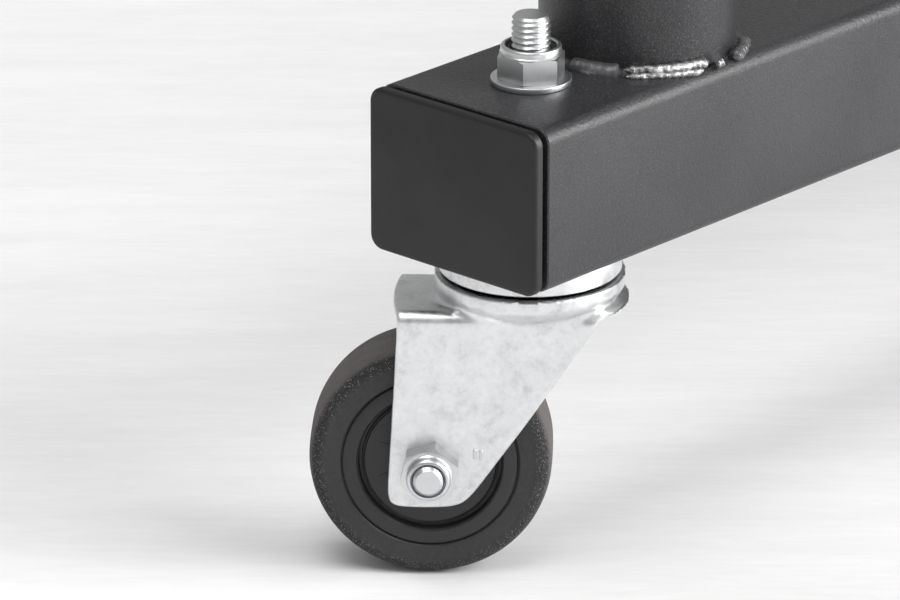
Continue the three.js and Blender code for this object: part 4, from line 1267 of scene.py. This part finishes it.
class STAND_OT_posts(bpy.types.Operator):
    """Builds the two posts with their welds and clamp bosses"""

    bl_idname = "stand.posts"
    bl_label = "Posts"

    def execute(self, context):
        sizes = context.scene.stand_base
        radius, wall, bead = sizes.post_radius / MM, sizes.post_wall / MM, sizes.bead / MM
        top = beam_heights()[1]
        for index, (side, sign) in enumerate(SIDES):
            low, high = mm_box(f"{side}_post")
            clamp = joint_place(f"{side}_clamp_turn")
            centre = (clamp[0] - sign * (radius + 10.0), (low[1] + high[1]) / 2)
            tube = moved(sleeve(radius - wall, radius, 0, high[2] - top, "powder", 0.9), z=top)
            boss = along_x(sleeve(5.3, 11.0, 0, 12.0, "powder", 0.8, ROUND_STEPS))
            boss = moved(boss, radius - 2.0, 0, clamp[2])
            shells = [tube, placed(boss, facing(sign))]
            seam = ring_bead(radius - 0.9, bead, 0.04, 0.7, sizes.seed + index, 360)
            shells.append(moved(seam, z=top - 0.9))
            shells += bare_welds(radius, top, sizes.seed + index)
            place = Matrix.Translation((*centre, 0))
            make_piece(f"{side}_post_tube", shells, "base", [f"{side}_post"], place)
        return {"FINISHED"}


def bare_welds(radius, top, seed):
    """The stretch of each post's weld that was run over again and left bare, with its ground start."""
    stretches = (
        ("weld", -57.0, 53.0, 0.7, 1.6, 1.8, 0.03, 0.8),
        ("weld", -55.0, 44.0, 2.7, 1.25, 0.5, 0.03, 0.7),
        ("weld patch", -90.0, 32.5, -0.2, 3.4, 0.0, 0.01, 0.5),
        ("weld", -2.0, 5.0, 2.4, 1.3, 0.8, 0.05, 1.2),
        ("weld patch", 14.0, 28.0, 2.4, 2.0, 0.5, 0.05, 1.6),
    )
    shells = []
    for finish, start, sweep, out, size, rise, ripple, lumps in stretches:
        line = {"Radius": radius + out, "Start": math.radians(start), "Sweep": math.radians(sweep)}
        line["Points"] = int(abs(sweep) * 3)
        bead = grown("weld", finish, **line, Size=size, Ripple=ripple, Lumps=lumps, Seed=float(seed + out))
        shells.append(moved(bead, z=top + rise))
    return shells


# ------------------------------------------------------------------------------- masts
class STAND_OT_masts(bpy.types.Operator):
    """Builds the sliding masts with their heads, pivots and clamp knobs"""

    bl_idname = "stand.masts"
    bl_label = "Masts"

    def execute(self, context):
        for side, sign in SIDES:
            low, high = mm_box(f"{side}_mast")
            centre = (low + high) / 2
            radius = (high[1] - low[1]) / 2
            pivot_z = high[2] - 20.0
            head_top = pivot_z - 36.0
            tube = [(0, head_top - 6), (radius - 3, head_top - 6), (radius - 3, low[2] + 0.5)]
            tube += [(radius - 2.6, low[2]), (radius - 0.4, low[2]), (radius, low[2] + 0.5)]
            tube += arc(radius - 1, head_top - 1, 1, 0, 90, 4) + [(0, head_top)]
            shells = [lathe(tube, "zinc")]
            cheek = [(-20, head_top - 1, 0.5), (20, head_top - 1, 0.5)]
            cheek += [(20, high[2], 19.9), (-20, high[2], 19.9)]
            for x in (-25.0, 20.0):
                shells.append(moved(standing(slab(cheek, 0, 5, "zinc", 0.6)), x))
            place = Matrix.Translation((centre[0], centre[1], 0))
            make_piece(f"{side}_mast_tube", shells, f"{side}_column", [f"{side}_mast"], place)
            self.pivot(side, centre, pivot_z)
            self.knob(side, sign)
        return {"FINISHED"}

    def pivot(self, side, centre, pivot_z):
        face = 25.3
        bolt = [along_x(rod(6.8, -face - 14, face + 1, "zinc"))]
        bolt.append(along_x(hexagon(21.0, face, face + 8, "bright zinc")))
        bolt.append(moved(along_x(threaded_end(6.8, 13.0, 2.0)), -face - 14.0))
        nut = lock_nut(21.0, 8.0, 11.0, 9.5, 8.0, 7.1, "bright zinc", "nylon")
        nut = moved(placed(nut, rotation(-90, "Y")), -face)
        body, place = f"{side}_column", Matrix.Translation((centre[0], centre[1], pivot_z))
        make_piece(f"{side}_pivot_screw", bolt, body, [f"{side}_pivot_bolt"], place)
        make_piece(f"{side}_pivot_lock_nut", [nut], body, [f"{side}_pivot_nut"], place)

    def knob(self, side, sign):
        low, high = mm_box(f"{side}_clamp_knob")
        place = joint_place(f"{side}_clamp_turn")
        outer = high[0] if sign > 0 else -low[0]
        inner = low[0] if sign > 0 else -high[0]
        face = outer - 16.0
        angles = np.arange(120) * math.tau / 120
        lobes = 22 - 2.5 * (1 - np.cos(5 * angles))
        rings = [circle(9.5, face + 1.2, 120)]
        rim = ((1.6, 0.0), (0.5, 0.5), (0.0, 1.8), (0.0, 11.0), (0.5, 13.0), (2.0, 14.8), (5.0, 15.7))
        for inset, height in rim:
            rings.append(circle(lobes - inset, face + height, 120))
        rings += [circle(9.0, outer, 120), circle(7.5, outer - 0.5, 120), circle(0, outer - 0.5)]
        shells = [skin([circle(0, face + 1.2)] + rings, "knob")]
        shells.append(rod(9.0, face - 6.0 + 0.3, face + 2.0, "knob"))
        shells.append(moved(threaded_end(4.9, face - inner, 1.5), z=inner))
        turn = rotation(90 * sign, "Y")
        matrix = Matrix.Translation((0, place[1], place[2])) @ turn
        nodes = [f"{side}_clamp_knob"]
        make_piece(f"{side}_star_knob", shells, f"{side}_clamp", nodes, matrix)


# ------------------------------------------------------------------------------- lever
def lever_matrix():
    """Moves a shape drawn in the lever's plane, pivots on X and arms along +Y, to the stand."""
    pivot = joint_place("lever_lift")
    return Matrix.Translation((0, pivot[1], pivot[2])) @ rotation(LEVER_SLOPE, "X")


class STAND_OT_lever(bpy.types.Operator):
    """Builds the bent lever frame, its stubs, plugs and foam grip"""

    bl_idname = "stand.lever"
    bl_label = "Lever"

    def execute(self, context):
        sizes = context.scene.stand_lever
        radius, bend, stub_radius = sizes.tube_radius / MM, sizes.bend / MM, sizes.stub_radius / MM
        half, rear, front, setback = 230.0, 545.0, 130.0, 15.0
        line = [(-half, -front, 0), (-half, rear, 0), (half, rear, 0), (half, -front, 0)]
        shells = [grown("bent bar", "powder", line, Radius=radius, Bend=bend)]
        for sign in (-1, 1):
            plug = [(0, -2.0), (16.5, -2.0)] + arc(17.4, 0.0, 1.2, -60, 60, 4) + [(14.0, 1.9), (0, 2.3)]
            plug = lathe(plug, "cap")
            shells.append(moved(along_y(plug), sign * half, -front))
            outward, end = rotation(90 * sign, "Y"), half - radius + 3.0
            stub = sleeve(stub_radius - 3.5, stub_radius, 98.0, end, "powder", 0.8, ROUND_STEPS)
            shells.append(moved(placed(stub, outward), 0, setback - front))
            ring = ring_bead(stub_radius + 0.3, 2.2, 0.08, 1.0, 4 + sign, 160)
            ring = placed(moved(ring, z=half - radius + 2.8), outward)
            saddle = np.sqrt(np.maximum(radius**2 - ring.points[:, 2] ** 2, 0))
            ring.points[:, 0] += sign * (radius - saddle)
            shells.append(moved(ring, 0, setback - front))
            bush = along_x(sleeve(7.2, 12.0, -19.7, 19.7, "bright zinc", 0.4, ROUND_STEPS))
            shells.append(moved(bush, sign * half))
        make_piece("lever_tube", shells, "lever", ["lever_frame"], lever_matrix())
        self.grip(sizes, radius, rear)
        return {"FINISHED"}

    def grip(self, sizes, radius, rear):
        half, outer = mm_box("hand_grip")[1][0], radius + sizes.grip_thick / MM
        inner = radius + 0.3
        profile = [(inner, -half), (outer - 2.0, -half)] + arc(outer - 1.6, -half + 1.8, 1.6, -80, -10, 4)
        count = 9
        for k in range(count):
            start = -half + 6 + k * (2 * half - 12) / count
            run = (2 * half - 12) / count
            profile += [(outer - 0.7, start), (outer, start + run * 0.18), (outer + 0.1, start + run * 0.5)]
            profile += [(outer, start + run * 0.82)]
        profile += [(outer - 0.7, half - 6)]
        profile += arc(outer - 1.6, half - 1.8, 1.6, 10, 80, 4) + [(outer - 2.0, half), (inner, half)]
        shells = [moved(along_x(lathe(profile, "foam", closed=True)), 0, rear)]
        piece = make_piece("foam_grip", shells, "lever", ["hand_grip"], lever_matrix())


class STAND_OT_cradles(bpy.types.Operator):
    """Builds the two swingarm cradles and their pads"""

    bl_idname = "stand.cradles"
    bl_label = "Cradles"

    def execute(self, context):
        sizes = context.scene.stand_lever
        stub = sizes.stub_radius / MM
        for side, sign in SIDES:
            low, high = mm_box(f"{side}_cradle")
            centre = (low + high) / 2
            half, depth = (high[0] - low[0]) / 2, high[1] - low[1]
            axis_z = low[2] + 19.5
            turn = facing(sign)
            matrix = Matrix.Translation((centre[0], centre[1], axis_z)) @ turn
            floor = 18.5
            sheet = 5.0
            shells = [along_x(sleeve(stub + 0.5, 19.5, -half, half, "bright zinc", 0.7))]
            ell = [(-half, floor, 0.6), (half, floor, 4.0), (half, high[2] - axis_z, 2.2)]
            ell += [(half - sheet, high[2] - axis_z, 2.2), (half - sheet, floor + sheet, 1.6)]
            ell += [(-half, floor + sheet, 0.6)]
            plate = placed(slab(ell, -depth / 2, depth / 2, "zinc", 0.7), rotation(90, "X"))
            shells.append(plate)
            for edge in (-1, 1):
                bead = placed(straight_bead("zinc", 2 * half, 0.12, 6 + edge), rotation(90, "Z"))
                shells.append(moved(bead, 0, edge * 8.6, floor - 0.6))
            shells.append(along_y(hexagon(10.0, 19.0, 25.0, "bright zinc")))
            slide = f"{side}_cradle_slide"
            make_piece(f"{side}_cradle_bracket", shells, slide, [f"{side}_cradle"], matrix)
            self.pad(side, matrix, half, depth, floor + sheet + 0.3, sheet, sizes.pad_thick / MM)
        return {"FINISHED"}

    def pad(self, side, matrix, half, depth, seat, sheet, thick):
        """A moulded L of rubber with ribs across its two faces."""
        right, high = half - sheet - 0.3, seat + 44.7
        ribs = 7
        outline = [(-half, seat, 0.5), (right, seat, 0.5), (right, high, 1.2), (right - thick, high, 2.0)]
        run = (high - seat - thick - 6) / ribs
        for k in range(ribs):
            up = high - 3.5 - k * run
            outline += [(right - thick, up, 0.5), (right - thick + 0.9, up - run * 0.18, 0.4)]
            outline += [(right - thick + 0.9, up - run * 0.3, 0.4), (right - thick, up - run * 0.48, 0.5)]
        outline += [(right - thick, seat + thick, 2.0)]
        run = (right - thick + half - 6) / ribs
        for k in range(ribs):
            along = right - thick - 3.0 - k * run
            outline += [(along, seat + thick, 0.5), (along - run * 0.18, seat + thick - 0.9, 0.4)]
            outline += [(along - run * 0.3, seat + thick - 0.9, 0.4)]
            outline += [(along - run * 0.48, seat + thick, 0.5)]
        outline += [(-half, seat + thick, 1.8)]
        shell = slab(outline, -depth / 2, depth / 2, "pad", 0.35)
        shells, slide = [placed(shell, rotation(90, "X"))], f"{side}_cradle_slide"
        piece = make_piece(f"{side}_pad", shells, slide, [f"{side}_cradle_pad"], matrix)


class STAND_OT_latch(bpy.types.Operator):
    """Builds the latch hook that holds the lever down"""

    bl_idname = "stand.latch"
    bl_label = "Latch"

    def execute(self, context):
        back, drop, arm, over = BAR_BEHIND_LATCH, BAR_OVER_LATCH, 9.0, 23.0
        outer = over + 2 * arm
        tip = math.atan2(drop, back)

        def bow(x, y, radius, angles):
            return [(x + radius * math.cos(a), y + radius * math.sin(a), 0.4) for a in angles]

        hook = [(-arm, 0, 0.4)] + bow(0, 0, arm, np.linspace(math.pi, math.tau, 13)[1:])
        hook += bow(back, drop, over, np.linspace(math.pi, tip, 13))
        hook += bow(back, drop, outer, np.linspace(tip, math.pi, 19))
        plate = standing(slab(hook, -4, 4, "zinc", 0.7))
        pin = along_x(rod(5.0, -9.5, 9.5, "bright zinc"))
        place = joint_place("latch_swing")
        matrix = Matrix.Translation(place) @ rotation(LATCH_OPEN, "X")
        make_piece("hook_plate", [plate, pin], "latch", ["latch_hook"], matrix)
        return {"FINISHED"}


# ------------------------------------------------------------------------------- stage
def area_light(name, power, size, place, target):
    """A square softbox that faces its target."""
    data = bpy.data.lights.new(name, "AREA")
    data.energy = power
    data.size = size
    light = bpy.data.objects.new(name, data)
    light.location = place
    light.rotation_euler = (Vector(target) - Vector(place)).to_track_quat("-Z", "Y").to_euler()
    bpy.context.scene.collection.objects.link(light)


class STAND_OT_stage(bpy.types.Operator):
    """Builds the floor, the studio lights and the camera"""

    bl_idname = "stand.stage"
    bl_label = "Stage"

    def execute(self, context):
        stage = context.scene.stand_stage
        mesh = bpy.data.meshes.new("StudioFloor")
        reach = 12.0
        corners = [(-reach, -reach, 0), (reach, -reach, 0), (reach, reach, 0), (-reach, reach, 0)]
        mesh.from_pydata(corners, [], [(0, 1, 2, 3)])
        mesh.materials.append(finish_material("floor"))
        floor = bpy.data.objects.new("StudioFloor", mesh)
        context.scene.collection.objects.link(floor)
        floor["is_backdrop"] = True
        world = bpy.data.worlds.new("StudioWalls")
        world.use_nodes = True
        world.node_tree.nodes["Background"].inputs["Color"].default_value = (1.0, 1.0, 1.0, 1.0)
        world.node_tree.nodes["Background"].inputs["Strength"].default_value = stage.sky
        context.scene.world = world
        context.scene.view_settings.view_transform = "Standard"
        area_light("KeySoftbox", stage.key, 1.7, (2.1, 0.5, 1.4), (-0.2, -0.25, 0.1))
        area_light("TopSoftbox", stage.top, 1.6, (0.0, -1.0, 2.5), (-0.1, -0.2, 0.1))
        area_light("SideSoftbox", stage.side, 1.5, (2.1, 1.5, 0.9), (-0.2, -0.25, 0.1))
        self.camera(context, stage)
        return {"FINISHED"}

    def camera(self, context, stage):
        stem = np.array(next(caster_places())[1]) * MM
        stem[2] = beam_heights()[1] * MM
        data = bpy.data.cameras.new("StudioCamera")
        data.lens = stage.lens
        data.clip_end = 50.0
        camera = bpy.data.objects.new("StudioCamera", data)
        camera.location = Vector(stem) + Vector(stage.place)
        look = Vector(
            (
                -math.sin(stage.heading) * math.cos(stage.pitch),
                math.cos(stage.heading) * math.cos(stage.pitch),
                -math.sin(stage.pitch),
            )
        )
        camera.rotation_euler = look.to_track_quat("-Z", "Y").to_euler()
        context.scene.collection.objects.link(camera)
        context.scene.camera = camera


# ------------------------------------------------------------------------------- add-on
SETTINGS = {
    "stand_stage": StageSettings,
    "stand_finishes": FinishSettings,
    "stand_casters": CasterSettings,
    "stand_base": BaseSettings,
    "stand_lever": LeverSettings,
}
OPERATORS = (
    STAND_OT_stage,
    STAND_OT_beams,
    STAND_OT_end_caps,
    STAND_OT_posts,
    STAND_OT_forks,
    STAND_OT_wheels,
    STAND_OT_fasteners,
    STAND_OT_raceways,
    STAND_OT_masts,
    STAND_OT_lever,
    STAND_OT_cradles,
    STAND_OT_latch,
)


class STAND_PT_build(bpy.types.Panel):
    """Lists the steps that build the stand"""

    bl_label = "Paddock Stand"
    bl_idname = "STAND_PT_build"
    bl_space_type = "VIEW_3D"
    bl_region_type = "UI"
    bl_category = "Stand"

    def draw(self, context):
        for operator in OPERATORS:
            self.layout.operator(operator.bl_idname)
        for name, group in SETTINGS.items():
            column = self.layout.column(align=True)
            for label in group.__annotations__:
                column.prop(getattr(context.scene, name), label)


def register():
    for group in (*SETTINGS.values(), *OPERATORS, STAND_PT_build):
        bpy.utils.register_class(group)
    for name, group in SETTINGS.items():
        setattr(bpy.types.Scene, name, PointerProperty(type=group))


def unregister():
    for name in SETTINGS:
        delattr(bpy.types.Scene, name)
    for group in reversed((*SETTINGS.values(), *OPERATORS, STAND_PT_build)):
        bpy.utils.unregister_class(group)


def plain(box):
    """A box as plain lists of numbers."""
    return [[float(number) for number in corner] for corner in box]


def main():
    register()
    for operator in OPERATORS:
        group, name = operator.bl_idname.split(".")
        getattr(getattr(bpy.ops, group), name)()
    {"cad": plain(CAD_BOX), "visual": plain(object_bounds())}


if __name__ == "__main__":
    main()
